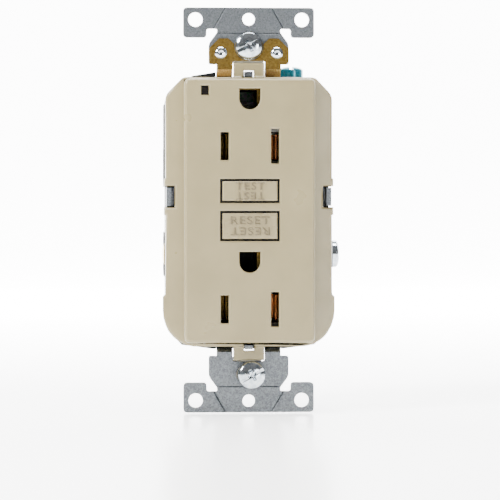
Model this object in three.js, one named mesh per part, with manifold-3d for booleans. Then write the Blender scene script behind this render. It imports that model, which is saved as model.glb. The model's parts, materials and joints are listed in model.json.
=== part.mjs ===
// A ground-fault duplex outlet, in millimetres.
// +Z is up as on a wall, +X is right, and the face looks along -Y.
// The origin is the middle of the mounting strap's rear face, which bears on the wall box.

import * as THREE from 'three';
import { mergeVertices } from 'three/addons/utils/BufferGeometryUtils.js';
import Module from 'manifold-3d';

const wasm = await Module();
wasm.setup();

// ---- Driving dimensions ----

const gap = 0.3; // between pieces shaped by each other
const seat = 0.2; // between stacked mouldings
const slip = 0.35; // round a button in its opening

const strap = {
  thickness: 1.2,
  halfLength: 51.35,
  earHalfWidth: 16.6,
  earHeight: 7.6,
  earInner: 10.7,
  notchHeight: 5.35,
  neckHalfWidth: 8.0,
  shoulderHalfWidth: 10.15,
  shoulderTop: 42.2,
  shoulderBottom: 37.0,
  legInner: 4.15,
  legOuter: 8.1,
  cutoutEnd: 38.4,
  earHoleX: 13.5,
  earHoleZ: 48.3,
  earHoleRadius: 1.85,
  plateHoleZ: 48.42,
  plateHoleRadius: 1.6,
  screwZ: 41.67,
  screwSlotLength: 6.4,
  screwSlotWidth: 4.4,
  railInner: 9.8,
  railOuter: 13.0,
  armHalfHeight: 2.3,
};

const cover = {
  halfWidth: 21.15,
  lowerHalfWidth: 21.8,
  padDepth: 0.35,
  top: 33.7,
  bottom: -34.5,
  flangeDepth: 4.8,
  rimY: 1.3,
  faceRise: 3.4,
  faceHalfWidth: 16.5,
  faceTop: 33.2,
  faceBottom: -33.4,
  wall: 1.6,
  cornerTop: 4.5,
  cornerBottom: 6.0,
  stepZ: -21.9,
  windowZ: 3.45,
  windowHalfHeight: 2.65,
  windowDepth: 2.7,
  tabHalfWidth: 3.85,
  topTabEnd: 37.3,
  bottomTabEnd: -38.0,
  tabFront: -2.7,
  tabBack: 0.6,
};

const outlet = {
  upperZ: 16.2,
  lowerZ: -24.9,
  slotX: 6.35,
  groundRise: 11.85,
  slotWidth: 2.05,
  hotSlotHeight: 7.1,
  neutralSlotHeight: 8.8,
  groundHalfWidth: 2.68,
  groundRadius: 2.65,
};

const buttons = {
  halfWidth: 7.5,
  testTop: 7.94,
  testBottom: 1.87,
  resetTop: -0.08,
  resetBottom: -7.71,
  proud: 0.25,
  skirt: 0.55,
  skirtThickness: 1.0,
};

const led = { x: -11.3, z: 30.2, halfWidth: 0.95, halfHeight: 1.2, recess: 0.7 };

const housing = {
  halfWidth: 20.7,
  top: 34.0,
  bottom: -35.3,
  depth: 23.7,
  wall: 1.6,
  floor: 1.4,
  corner: 3.8,
};

// Raised frames round the terminal bays.
const topWedge = { thinX: -14.4, thickX: -8.3, thinRise: 0.15, thickRise: 1.15, sunk: 0.4, behindLip: 0.8 };
const sideRib = { outer: 21.35, back: 16, heights: [[6.0, 27.0], [-16.9, -5.7]] };

const carrier = { halfWidth: 14.4, top: 31.1, bottom: -31.6, depth: 9.9, bridgeDepth: 1.2 };
const contact = {
  sheet: 0.8,
  leaf: 0.6,
  bladeGap: 1.3,
  forkHeight: 6.4,
  spineX: 11.0,
  front: 3.4,
};
const groundPin = { gap: 4.4, depth: 12.5 };
const boardSize = { halfWidth: 14.0, halfHeight: 31.0, thickness: 1.6 };

const terminal = {
  upperZ: 11.3,
  lowerZ: -11.3,
  y: 9.8,
  bayHalfHeight: 4.4,
  bayHalfDepth: 4.7,
  plateX: 16.2,
  plateThickness: 1.0,
  plateHalfSize: 4.0,
  clampThickness: 0.8,
  clampHalfSize: 3.4,
  headRadius: 3.5,
  headHeight: 2.0,
  shankRadius: 2.08,
  shankLength: 6.4,
  upperLeftOut: 0,
  upperRightOut: 0,
  lowerLeftOut: 1.55,
  lowerRightOut: 4.05,
  wireHoleRadius: 1.25,
};

const boxScrew = {
  headRadius: 3.5,
  headHeight: 2.0,
  shankRadius: 1.7,
  length: 22,
  standOff: 0.3,
  lowStandOff: 2.6,
  lowTilt: 8,
};
const retainer = { halfSize: 4.1, thickness: 0.8, y: 3.6 };
const caseScrew = {
  x: 17.0,
  topZ: 28.4,
  bottomZ: -28.6,
  radius: 1.1,
  headRadius: 2.0,
  headHeight: 1.4,
  post: 2.5,
};
const bridge = {
  thickness: 0.8,
  top: 43.5,
  screwClear: 3.7,
  mouthHalfWidth: 5.25,
  mouthBottom: 42.1,
  rivetX: 7.1,
  rivetZ: 39.8,
  rivetRadius: 1.5,
};
const ground = {
  x: 11.2,
  y: 6.4,
  headRadius: 3.2,
  headHeight: 2.9,
  shankRadius: 1.8,
  length: 5.6,
  shelfTop: 32.6,
};

const shaft = { radius: 1.4, neckRadius: 0.8, z: -3.9, neckAhead: 2.4, headBehind: 1.0, headLength: 1.0 };
const solenoid = {
  bottom: 9.0,
  top: 27.0,
  boreRadius: 1.9,
  coreRadius: 2.6,
  outerRadius: 4.2,
  frame: 0.9,
};
const plunger = { radius: 1.5, bottom: 5.4, top: 20.0 };
const latch = { thickness: 0.8, halfWidth: 3.2, bottom: -8.2, holeBottom: -7.1, holeTop: -2.9 };
const coils = { z: -19.0, radius: 7.4, bore: 3.7, thickness: 3.0, front: 16.0, spacing: 0.4, wall: 0.9 };
const lineBar = { inner: 0.6, outer: 1.8, halfHeight: 1.2, reach: 12.2 };
const arm = {
  inner: 9.8,
  outer: 12.2,
  top: 4.2,
  bottom: -20.4,
  front: 13.2,
  thickness: 0.8,
  padRadius: 1.0,
};
const lifter = {
  halfWidth: 4.5,
  front: 10.0,
  latchRoom: 1.8,
  top: -0.6,
  bottom: -7.2,
  wing: 13.2,
  wingThickness: 1.3,
};
const spring = { radius: 2.5, wire: 0.38, turns: 5 };

// ---- Planes through the thickness, front to back ----

const flangeFront = cover.rimY - cover.flangeDepth;
const faceFront = flangeFront - cover.faceRise;
const faceBack = faceFront + cover.wall;
const flangeBack = flangeFront + cover.wall;
const webFront = cover.rimY + seat;
const webBack = webFront + strap.thickness;
const carrierFront = webBack + seat;
const carrierBack = carrierFront + carrier.depth;
const housingBack = carrierFront + housing.depth;
const housingInside = housingBack - housing.floor;
const boardBack = housingInside - seat;
const boardFront = boardBack - boardSize.thickness;
const solenoidY = boardFront - solenoid.outerRadius - 0.4;
const neckStart = solenoidY - shaft.neckAhead;
const headStart = solenoidY + shaft.headBehind;
const shaftEnd = headStart + shaft.headLength;
const seatY = carrierFront + 3.9; // front of the carrier's bridge, where the button springs rest
const testZ = (buttons.testTop + buttons.testBottom) / 2;
const upperGroundZ = outlet.upperZ + outlet.groundRise;
const lowerGroundZ = outlet.lowerZ + outlet.groundRise;
const outletZs = [outlet.upperZ, outlet.lowerZ];
const bayZs = [terminal.upperZ, terminal.lowerZ];

// ---- Materials ----

function finish(color, roughness, metalness) {
  return new THREE.MeshStandardMaterial({ color, roughness, metalness });
}

const ivory = () => finish('#c4bda9', 0.5, 0);
const blackPlastic = () => finish('#15161a', 0.55, 0);
const zinc = () => finish('#8f9597', 0.4, 0.9);
const steel = () => finish('#a9adb0', 0.35, 0.9);
const brass = () => finish('#a9803e', 0.4, 0.9);
const copper = () => finish('#b4693a', 0.4, 0.9);
const green = () => finish('#16899a', 0.4, 0.6);
const nylon = () => finish('#d9d7cf', 0.6, 0);

// ---- Solids ----

function toSolid(geometry) {
  const bare = geometry.clone();
  bare.deleteAttribute('normal');
  bare.deleteAttribute('uv');
  const merged = mergeVertices(bare, 1e-4);
  const vertProperties = new Float32Array(merged.attributes.position.array);
  const triVerts = new Uint32Array(merged.index.array);
  return new wasm.Manifold(new wasm.Mesh({ numProp: 3, vertProperties, triVerts }));
}

function toGeometry(solid) {
  const mesh = solid.getMesh();
  const geometry = new THREE.BufferGeometry();
  geometry.setAttribute('position', new THREE.BufferAttribute(mesh.vertProperties, 3));
  geometry.setIndex(new THREE.BufferAttribute(mesh.triVerts, 1));
  geometry.computeVertexNormals();
  return geometry;
}

function join(...geometries) {
  return toGeometry(geometries.map(toSolid).reduce((whole, next) => whole.add(next)));
}

function cut(body, ...tools) {
  return toGeometry(tools.map(toSolid).reduce((left, tool) => left.subtract(tool), toSolid(body)));
}

function block([x0, x1], [y0, y1], [z0, z1]) {
  const geometry = new THREE.BoxGeometry(x1 - x0, y1 - y0, z1 - z0);
  return geometry.translate((x0 + x1) / 2, (y0 + y1) / 2, (z0 + z1) / 2);
}

// Two blocks, at the same distance either side of the middle.
function pairOfBlocks([x0, x1], ys, zs) {
  return [block([x0, x1], ys, zs), block([-x1, -x0], ys, zs)];
}

function rodX(radius, [x0, x1], y, z, sides = 20) {
  const geometry = new THREE.CylinderGeometry(radius, radius, x1 - x0, sides);
  return geometry.rotateZ(-Math.PI / 2).translate((x0 + x1) / 2, y, z);
}

function rodY(radius, [y0, y1], x, z, sides = 20) {
  return new THREE.CylinderGeometry(radius, radius, y1 - y0, sides).translate(x, (y0 + y1) / 2, z);
}

function rodZ(radius, [z0, z1], x, y, sides = 20) {
  const geometry = new THREE.CylinderGeometry(radius, radius, z1 - z0, sides);
  return geometry.rotateX(Math.PI / 2).translate(x, y, (z0 + z1) / 2);
}

// An outline in x and z, each corner [x, z, radius], drawn into the thickness between two y planes.
function slab(corners, [y0, y1]) {
  const shape = new THREE.Shape();
  corners.forEach(([x, z, radius = 0], i) => {
    const corner = new THREE.Vector2(x, z);
    const before = new THREE.Vector2(...corners[(i + corners.length - 1) % corners.length]);
    const after = new THREE.Vector2(...corners[(i + 1) % corners.length]);
    const start = before.sub(corner).setLength(radius).add(corner);
    const end = after.sub(corner).setLength(radius).add(corner);
    if (i === 0) shape.moveTo(start.x, start.y);
    else shape.lineTo(start.x, start.y);
    if (radius > 0) shape.quadraticCurveTo(x, z, end.x, end.y);
  });
  shape.closePath();
  const options = { depth: y1 - y0, bevelEnabled: false, curveSegments: 3 };
  const geometry = new THREE.ExtrudeGeometry(shape, options);
  return geometry.rotateX(Math.PI / 2).translate(0, y1, 0);
}

// A profile in y and z, drawn along x.
function strip(points, [x0, x1]) {
  const shape = new THREE.Shape(points.map(([y, z]) => new THREE.Vector2(y, z)));
  const geometry = new THREE.ExtrudeGeometry(shape, { depth: x1 - x0, bevelEnabled: false });
  return geometry.rotateX(Math.PI / 2).rotateZ(Math.PI / 2).translate(x0, 0, 0);
}

// A profile of [radius, height] turned about its own axis, which points along +Z until it is placed.
function turned(profile, sides = 16) {
  const points = profile.map(([radius, height]) => new THREE.Vector2(radius, height));
  return new THREE.LatheGeometry(points, sides).rotateX(Math.PI / 2);
}

// A ring is a profile that closes on itself away from the axis.
function ring(inner, outer, [low, high], sides = 24) {
  return turned([[inner, low], [outer, low], [outer, high], [inner, high], [inner, low]], sides);
}

function mirrorCorners(corners) {
  return corners.map(([x, z, radius = 0]) => [-x, z, radius]).reverse();
}

// Half an outline on the right, closed by its mirror image on the left.
function symmetric(half, ys) {
  return slab([...half, ...mirrorCorners(half)], ys);
}

class Helix extends THREE.Curve {
  constructor(radius, turns, [low, high]) {
    super();
    Object.assign(this, { radius, turns, low, high });
  }

  getPoint(t) {
    const angle = t * this.turns * 2 * Math.PI;
    const height = this.low + (this.high - this.low) * t;
    return new THREE.Vector3(this.radius * Math.cos(angle), this.radius * Math.sin(angle), height);
  }
}

// A coil spring about the z axis, between two end planes.
function coilSpring({ radius, wire, turns }, [low, high]) {
  const section = new THREE.Shape();
  section.absarc(0, 0, wire, 0, 2 * Math.PI);
  const path = new Helix(radius, turns, [low + wire, high - wire]);
  const options = { steps: turns * 10, extrudePath: path, curveSegments: 3, bevelEnabled: false };
  return new THREE.ExtrudeGeometry(section, options);
}

// A screw along +Z, its head's underside at 0 and its shank below. The slot is cut across the head.
function screw({ headRadius, headHeight, shankRadius, length }, slotWidth = 0.9) {
  const profile = [
    [0, -length],
    [shankRadius * 0.7, -length],
    [shankRadius, -length + shankRadius * 0.4],
    [shankRadius, 0],
    [headRadius, 0],
    [headRadius, headHeight * 0.45],
    [headRadius * 0.72, headHeight * 0.88],
    [0, headHeight],
  ];
  const slotDepth = headHeight * 0.45;
  const slot = block(
    [-headRadius - 1, headRadius + 1],
    [-slotWidth / 2, slotWidth / 2],
    [headHeight - slotDepth, headHeight + 1],
  );
  return cut(turned(profile), slot);
}

const outletModel = new THREE.Group();

function add(name, geometry, material) {
  const mesh = new THREE.Mesh(geometry, material);
  mesh.name = name;
  outletModel.add(mesh);
  return mesh;
}

// ---- Mounting strap ----

// The end plate, for the top; the bottom is its mirror image.
function strapEnd() {
  const end = strap.halfLength;
  const neckBottom = strap.shoulderTop + strap.shoulderHalfWidth - strap.neckHalfWidth + 0.75;
  const half = [
    [0, end],
    [strap.earHalfWidth, end, 1],
    [strap.earHalfWidth, end - strap.earHeight, 1],
    [strap.earInner, end - strap.earHeight, 0.8],
    [strap.earInner, end - strap.notchHeight, 0.6],
    [strap.neckHalfWidth, end - strap.notchHeight, 0.4],
    [strap.neckHalfWidth, neckBottom, 0.4],
    [strap.shoulderHalfWidth, strap.shoulderTop, 0.8],
    [strap.shoulderHalfWidth, strap.shoulderBottom, 0.5],
    [strap.legOuter, strap.shoulderBottom],
    [strap.legOuter, strap.shoulderBottom - 1],
    [strap.legInner, strap.shoulderBottom - 1],
    [strap.legInner, strap.cutoutEnd, 0.6],
    [0, strap.cutoutEnd],
  ];
  return symmetric(half, [-strap.thickness, 0]);
}

// A leg bends back from the end plate and comes down onto the web.
const bendTop = strap.shoulderBottom - 1;
const bendDrop = 2.5;

function legProfile(front, back) {
  const slope = 0.55;
  const webFace = front + webFront + strap.thickness;
  const webRear = back + webBack;
  return [
    [front, bendTop + 2],
    [front, bendTop],
    [webFace, bendTop - bendDrop],
    [webFace, bendTop - bendDrop - 2],
    [webRear, bendTop - bendDrop - 2],
    [webRear, bendTop - bendDrop + slope],
    [back, bendTop + slope],
    [back, bendTop + 2],
  ];
}

const mirrorZ = (geometry) => {
  const flipped = toSolid(geometry).mirror([0, 0, 1]);
  return toGeometry(flipped);
};

const webTop = bendTop - bendDrop;
const webBottom = -webTop;
const ledClear = 0.4;

function web() {
  const wide = [-strap.railOuter, strap.railOuter];
  const ys = [webFront, webBack];
  const groundHalf = groundPin.gap / 2 + contact.leaf + gap;
  const frame = join(
    block(wide, ys, [upperGroundZ - 5.4, webTop]),
    block(wide, ys, [lowerGroundZ - 5.4, lowerGroundZ + 4.0]),
    block(wide, ys, [webBottom, webBottom + 2.8]),
    ...pairOfBlocks([strap.railInner, strap.railOuter], ys, [webBottom, webTop]),
  );
  return cut(
    frame,
    block([-groundHalf, groundHalf], [0, 5], [upperGroundZ - 3.1, upperGroundZ + 3.1]),
    block([-groundHalf, groundHalf], [0, 5], [lowerGroundZ - 3.1, lowerGroundZ + 3.1]),
    block(
      [led.x - led.halfWidth - ledClear, led.x + led.halfWidth + ledClear],
      [0, 5],
      [led.z - led.halfHeight - ledClear, led.z + led.halfHeight + ledClear],
    ),
  );
}

const hookOuter = cover.halfWidth + cover.padDepth - 0.6;
const hookInner = hookOuter - strap.thickness;

function sideHook() {
  const zs = [cover.windowZ - strap.armHalfHeight, cover.windowZ + strap.armHalfHeight];
  return [
    ...pairOfBlocks([strap.railOuter - 0.5, hookOuter], [webFront, webBack], zs),
    ...pairOfBlocks([hookInner, hookOuter], [flangeFront + 0.5, webBack], zs),
  ];
}

// Prongs fold forward into the windows of the cover's tabs.
const prong = { halfWidth: 1.05, topHeight: 1.35, bottomHeight: 1.0, reach: 1.6 };
const topWindow = [33.6, 35.45];
const bottomWindow = [-35.7, -33.9];

function tabProng([low, high], height, root) {
  const middle = (low + high) / 2;
  const zs = [middle - height / 2, middle + height / 2];
  const xs = [-prong.halfWidth, prong.halfWidth];
  const stem = [Math.min(root, zs[0]), Math.max(root, zs[1])];
  return [block(xs, [webFront, webBack], stem), block(xs, [-prong.reach, webBack], zs)];
}

function screwSlot(z) {
  const reach = (strap.screwSlotLength - strap.screwSlotWidth) / 2;
  return [
    block([-reach, reach], [-5, 5], [z - strap.screwSlotWidth / 2, z + strap.screwSlotWidth / 2]),
    rodY(strap.screwSlotWidth / 2, [-5, 5], reach, z),
    rodY(strap.screwSlotWidth / 2, [-5, 5], -reach, z),
  ];
}

// The shelf that the ground screw threads into.
function groundShelf() {
  const reach = ground.headRadius;
  const shelf = block(
    [ground.x - reach, ground.x + reach],
    [webFront, ground.y + reach],
    [ground.shelfTop - strap.thickness, ground.shelfTop],
  );
  return cut(shelf, rodZ(ground.shankRadius + 0.1, [0, 50], ground.x, ground.y));
}

function mountingStrap() {
  const end = strapEnd();
  const legs = [-1, 1].map((side) => {
    const xs = side > 0 ? [strap.legInner, strap.legOuter] : [-strap.legOuter, -strap.legInner];
    return strip(legProfile(-strap.thickness, 0), xs);
  });
  const upper = join(end, ...legs);
  const ends = [upper, mirrorZ(upper)];
  const prongs = [
    ...tabProng(topWindow, prong.topHeight, webTop - 1),
    ...tabProng(bottomWindow, prong.bottomHeight, webBottom + 1),
  ];
  const whole = join(...ends, web(), ...sideHook(), ...prongs, groundShelf());
  const holes = [-1, 1].flatMap((up) => [
    rodY(strap.earHoleRadius, [-5, 5], strap.earHoleX, up * strap.earHoleZ, 16),
    rodY(strap.earHoleRadius, [-5, 5], -strap.earHoleX, up * strap.earHoleZ, 16),
    rodY(strap.plateHoleRadius, [-5, 5], 0, up * strap.plateHoleZ, 16),
    ...screwSlot(up * strap.screwZ),
  ]);
  const rivetHoles = [-1, 1].map((side) =>
    rodY(bridge.rivetRadius * 0.7 + gap, [-5, 5], side * bridge.rivetX, bridge.rivetZ, 16));
  return cut(whole, ...holes, ...rivetHoles);
}

// ---- Brass ground bridge over the top of the strap ----

function groundBridge() {
  const front = -strap.thickness - bridge.thickness;
  const half = [
    [0, bridge.top],
    [strap.shoulderHalfWidth - 2.6, bridge.top],
    [strap.shoulderHalfWidth, bridge.top - 2.6, 0.6],
    [strap.shoulderHalfWidth, strap.shoulderBottom + 0.05, 0.8],
    [strap.legOuter, strap.shoulderBottom + 0.05],
    [strap.legOuter, bendTop],
    [strap.legInner, bendTop],
    [strap.legInner, cover.topTabEnd + 0.5, 0.5],
    [0, cover.topTabEnd + 0.5],
  ];
  const plate = cut(
    symmetric(half, [front, -strap.thickness]),
    rodY(bridge.screwClear, [-5, 5], 0, strap.screwZ, 28),
    block([-bridge.screwClear, bridge.screwClear], [-5, 5], [strap.screwZ, bridge.top + 1]),
  );
  const inner = webFront - bridge.thickness;
  const slide = 0.75;
  const legPoints = [
    [front, bendTop + 1.5],
    [front, bendTop - slide + 0.4],
    [inner, webTop - slide],
    [inner, upperGroundZ + 3.4],
    [webFront, upperGroundZ + 3.4],
    [webFront, webTop],
    [-strap.thickness, bendTop],
    [-strap.thickness, bendTop + 1.5],
  ];
  const legs = [
    strip(legPoints, [strap.legInner, strap.legOuter]),
    strip(legPoints, [-strap.legOuter, -strap.legInner]),
  ];
  const crosspiece = block(
    [-strap.legOuter, strap.legOuter],
    [inner, webFront],
    [upperGroundZ + 3.2, webTop - slide],
  );
  const rivetHoles = [-1, 1].map((side) =>
    rodY(bridge.rivetRadius * 0.7 + gap, [-5, 5], side * bridge.rivetX, bridge.rivetZ, 16));
  const tabRoom = block(
    [-cover.tabHalfWidth - gap, cover.tabHalfWidth + gap],
    [-5, inner - 0.1],
    [bendTop - 6, cover.topTabEnd + gap],
  );
  const mouth = [
    [-bridge.screwClear, bridge.mouthBottom],
    [bridge.screwClear, bridge.mouthBottom],
    [bridge.mouthHalfWidth + 0.2, bridge.top + 0.2],
    [-bridge.mouthHalfWidth - 0.2, bridge.top + 0.2],
  ];
  return cut(join(plate, ...legs, crosspiece), ...rivetHoles, tabRoom, slab(mouth, [-5, 5]));
}

function bridgeRivet() {
  const hole = bridge.rivetRadius * 0.7;
  const front = strap.thickness + bridge.thickness;
  return turned([
    [0, -0.6],
    [bridge.rivetRadius, -0.6],
    [bridge.rivetRadius, 0],
    [hole, 0],
    [hole, front],
    [bridge.rivetRadius, front],
    [bridge.rivetRadius * 0.7, front + 0.5],
    [0, front + 0.6],
  ]);
}

// ---- Front cover ----

function coverOutline(grow = 0) {
  const half = cover.halfWidth + grow;
  const low = cover.lowerHalfWidth + grow;
  const { cornerTop, cornerBottom, stepZ } = cover;
  const top = cover.top + grow;
  const bottom = cover.bottom - grow;
  return [
    [half - cornerTop, top, 1],
    [half, top - cornerTop, 1.4],
    [half, stepZ + 0.7],
    [low, stepZ],
    [low, bottom + cornerBottom, 3],
    [low - cornerBottom * 0.5, bottom + cornerBottom * 0.28, 2.2],
    [low - cornerBottom - 1, bottom, 1.6],
  ];
}

function slotCutters() {
  const ys = [faceFront - 1, faceBack + 1];
  return outletZs.flatMap((z) => [
    block(
      [-outlet.slotX - outlet.slotWidth / 2, -outlet.slotX + outlet.slotWidth / 2],
      ys,
      [z - outlet.hotSlotHeight / 2, z + outlet.hotSlotHeight / 2],
    ),
    block(
      [outlet.slotX - outlet.slotWidth / 2, outlet.slotX + outlet.slotWidth / 2],
      ys,
      [z - outlet.neutralSlotHeight / 2, z + outlet.neutralSlotHeight / 2],
    ),
    ...groundCutter(z + outlet.groundRise, ys),
  ]);
}

// A round hole with a flat top.
function groundCutter(z, ys) {
  return [
    rodY(outlet.groundRadius, ys, 0, z),
    block([-outlet.groundHalfWidth, outlet.groundHalfWidth], ys, [z, z + outlet.groundRadius]),
  ];
}

function buttonCutters() {
  const xs = [-buttons.halfWidth, buttons.halfWidth];
  const ys = [faceFront - 1, faceBack + 1];
  return [
    block(xs, ys, [buttons.testBottom, buttons.testTop]),
    block(xs, ys, [buttons.resetBottom, buttons.resetTop]),
  ];
}

// Room in the rim for the legs of the strap and bridge, and for the bridge's crosspiece.
function legNotches() {
  const xs = [strap.legInner - gap, strap.legOuter + gap];
  const across = strap.legOuter + gap;
  const aboveWall = [cover.top - cover.wall - 0.5, cover.top + 5];
  const belowWall = [cover.bottom - 5, cover.bottom + cover.wall + 0.5];
  return [
    ...pairOfBlocks(xs, [-0.5, 5], aboveWall),
    ...pairOfBlocks(xs, [-0.5, 5], belowWall),
    block([-across, across], [webFront - bridge.thickness - gap, 5], aboveWall),
  ];
}

function coverTab([low, high], [windowLow, windowHigh]) {
  const xs = [-cover.tabHalfWidth, cover.tabHalfWidth];
  const tab = block(xs, [cover.tabFront, cover.tabBack], [low, high]);
  return cut(tab, block([-1.3, 1.3], [-5, 5], [windowLow, windowHigh]));
}

// The window for each side hook, open at the edge of the flange.
function hookWindows() {
  const edge = cover.halfWidth + cover.padDepth;
  const zs = [cover.windowZ - cover.windowHalfHeight, cover.windowZ + cover.windowHalfHeight];
  return pairOfBlocks([edge - cover.windowDepth, edge + 1], [flangeFront - 1, cover.rimY + 1], zs);
}

const padZs = [cover.windowZ - cover.windowHalfHeight - 2.0, cover.windowZ + cover.windowHalfHeight + 2.0];
const bossFront = flangeBack + 0.5;
const caseScrewZs = [caseScrew.topZ, caseScrew.bottomZ];

function eachCaseScrew(make) {
  return caseScrewZs.flatMap((z) => [make(caseScrew.x, z), make(-caseScrew.x, z)]);
}

function frontCover() {
  const flange = symmetric(coverOutline(), [flangeFront, cover.rimY]);
  const faceHalf = [
    [cover.faceHalfWidth, cover.faceTop, 1.5],
    [cover.faceHalfWidth, cover.faceBottom, 1.5],
  ];
  const face = symmetric(faceHalf, [faceFront, flangeBack]);
  const shellYs = [flangeFront, cover.rimY];
  const pads = pairOfBlocks([cover.halfWidth - 1, cover.halfWidth + cover.padDepth], shellYs, padZs);
  const faceRoom = block(
    [cover.wall - cover.faceHalfWidth, cover.faceHalfWidth - cover.wall],
    [faceBack, flangeBack + 1],
    [cover.faceBottom + cover.wall, cover.faceTop - cover.wall],
  );
  const flangeRoom = symmetric(coverOutline(-cover.wall), [flangeBack, cover.rimY + 1]);
  const edge = cover.halfWidth + cover.padDepth;
  const frameInner = edge - cover.windowDepth - cover.wall;
  const windowFrames = pairOfBlocks([frameInner, cover.halfWidth - 0.5], shellYs, padZs);
  const bosses = eachCaseScrew((x, z) => rodY(caseScrew.post, [flangeFront + 0.5, cover.rimY], x, z, 16));
  const shell = join(cut(join(flange, face, ...pads), faceRoom, flangeRoom), ...windowFrames, ...bosses);
  const tabs = [
    coverTab([cover.top - cover.wall, cover.topTabEnd], topWindow),
    coverTab([cover.bottomTabEnd, cover.bottom + cover.wall], bottomWindow),
  ];
  const tabHoles = [topWindow, bottomWindow].map((zs) => block([-1.3, 1.3], [-5, 5], zs));
  const ledWindow = block(
    [led.x - led.halfWidth, led.x + led.halfWidth],
    [faceFront - 1, flangeBack + 1],
    [led.z - led.halfHeight, led.z + led.halfHeight],
  );
  const screwHoles = eachCaseScrew((x, z) => rodY(caseScrew.radius + 0.15, [bossFront, 6], x, z, 12));
  return cut(
    join(shell, ...tabs),
    ...tabHoles,
    ...slotCutters(),
    ...buttonCutters(),
    ...legNotches(),
    ...hookWindows(),
    ...screwHoles,
    ledWindow,
  );
}

// ---- Buttons ----

function button([low, high], skirtGap, stem) {
  const front = faceFront - buttons.proud;
  const skirtFront = faceBack + skirtGap;
  const bevel = 0.35;
  const xs = [-buttons.halfWidth + slip, buttons.halfWidth - slip];
  const zs = [low + slip, high - slip];
  const cap = block(xs, [front + bevel, skirtFront + 0.1], zs);
  const top = block(
    [xs[0] + bevel, xs[1] - bevel],
    [front, front + bevel + 0.1],
    [zs[0] + bevel, zs[1] - bevel],
  );
  const skirt = block(
    [xs[0] - slip - buttons.skirt, xs[1] + slip + buttons.skirt],
    [skirtFront, skirtFront + buttons.skirtThickness],
    [low - buttons.skirt, high + buttons.skirt],
  );
  return join(cap, top, skirt, stem);
}

const skirtBack = faceBack + 0.1 + buttons.skirtThickness;
const stemHalf = 1.2;
const leafFront = seatY + carrier.bridgeDepth + 1.3;

function testButton() {
  const stem = block(
    [-stemHalf, stemHalf],
    [skirtBack - 0.1, leafFront - gap],
    [testZ - stemHalf, testZ + stemHalf],
  );
  return button([buttons.testBottom, buttons.testTop], 0.1, stem);
}

// The shaft is pressed into a socket under the reset button.
const socketDepth = 2.4;

function resetButton() {
  const socket = rodY(shaft.radius + 0.5, [skirtBack - 0.1, skirtBack + 0.8], 0, shaft.z);
  const body = button([buttons.resetBottom, buttons.resetTop], 0.1, socket);
  return cut(body, rodY(shaft.radius + 0.06, [skirtBack + 0.8 - socketDepth, 20], 0, shaft.z));
}

function resetShaft() {
  const start = skirtBack + 0.8 - socketDepth;
  const profile = [
    [0, 0],
    [shaft.radius, 0],
    [shaft.radius, neckStart - start],
    [shaft.neckRadius, neckStart - start],
    [shaft.neckRadius, headStart - start],
    [shaft.radius, headStart - start],
    [shaft.radius * 0.6, shaftEnd - start],
    [0, shaftEnd - start],
  ];
  return turned(profile).rotateX(-Math.PI / 2).translate(0, start, shaft.z);
}

// Coil springs stand behind the buttons, on the carrier's bridge.
function buttonSpring(front, z) {
  return coilSpring(spring, [0, seatY - front]).rotateX(-Math.PI / 2).translate(0, front, z);
}

// ---- Contacts ----

const spine = { inner: contact.spineX - contact.sheet / 2, outer: contact.spineX + contact.sheet / 2 };
const forkBack = carrierBack - 1.3;

// A long strip with a two-leaf fork behind each slot, on the side given by sign.
function faceContact(sign) {
  const leafIn = outlet.slotX - contact.bladeGap / 2 - contact.leaf;
  const leafOut = outlet.slotX + contact.bladeGap / 2;
  const half = contact.forkHeight / 2;
  const base = [forkBack - contact.leaf, forkBack];
  const spineBack = forkBack;
  const low = outlet.lowerZ - half;
  const high = outlet.upperZ + half;
  const pieces = [block([spine.inner, spine.outer], [seatY - 1.5, spineBack], [low, high])];
  for (const z of outletZs) {
    const zs = [z - half, z + half];
    pieces.push(block([leafIn, spine.outer], base, zs));
    pieces.push(block([leafIn, leafIn + contact.leaf], [contact.front, forkBack], zs));
    pieces.push(block([leafOut, leafOut + contact.leaf], [contact.front, forkBack], zs));
  }
  pieces.push(block([spine.inner, spine.outer], [seatY, arm.front - 0.45], [0.6, 4.6]));
  const right = join(...pieces);
  return sign > 0 ? right : toGeometry(toSolid(right).mirror([1, 0, 0]));
}

// A fork of two leaves for a ground pin, on a plate with a hole in it.
function groundContact(z, plateZs) {
  const inner = groundPin.gap / 2;
  const outer = inner + contact.leaf;
  const plate = block([-outer - 2.2, outer + 2.2], [webFront - bridge.thickness, webFront], plateZs);
  const hole = block([-inner, inner], [-5, 5], [z - 2.6, z + 2.6]);
  const leafYs = [webFront - bridge.thickness, groundPin.depth];
  const leaves = pairOfBlocks([inner, outer], leafYs, [z - 2.2, z + 2.2]);
  return join(cut(plate, hole), ...leaves);
}

// ---- Contact carrier ----

function carrierPockets() {
  const deep = [0, forkBack + 0.2];
  const forks = outletZs.flatMap((z) => {
    const half = contact.forkHeight / 2 + 0.6;
    return pairOfBlocks([outlet.slotX - 2.4, spine.outer + gap], deep, [z - half, z + half]);
  });
  const channel = pairOfBlocks(
    [spine.inner - gap, spine.outer + gap],
    deep,
    [outlet.lowerZ - contact.forkHeight / 2 - 0.6, outlet.upperZ + contact.forkHeight / 2 + 0.6],
  );
  const shanks = bayZs.flatMap((z) => [
    rodX(terminal.shankRadius + gap, [spine.outer, 20], terminal.y, z, 16),
    rodX(terminal.shankRadius + gap, [-20, -spine.outer], terminal.y, z, 16),
  ]);
  const wells = [upperGroundZ, lowerGroundZ].map((z) => block([-3.3, 3.3], [0, 20], [z - 3.0, z + 3.0]));
  return [...forks, ...channel, ...shanks, ...wells];
}

const middle = { top: 9.6, bottom: -8.9 };

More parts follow.
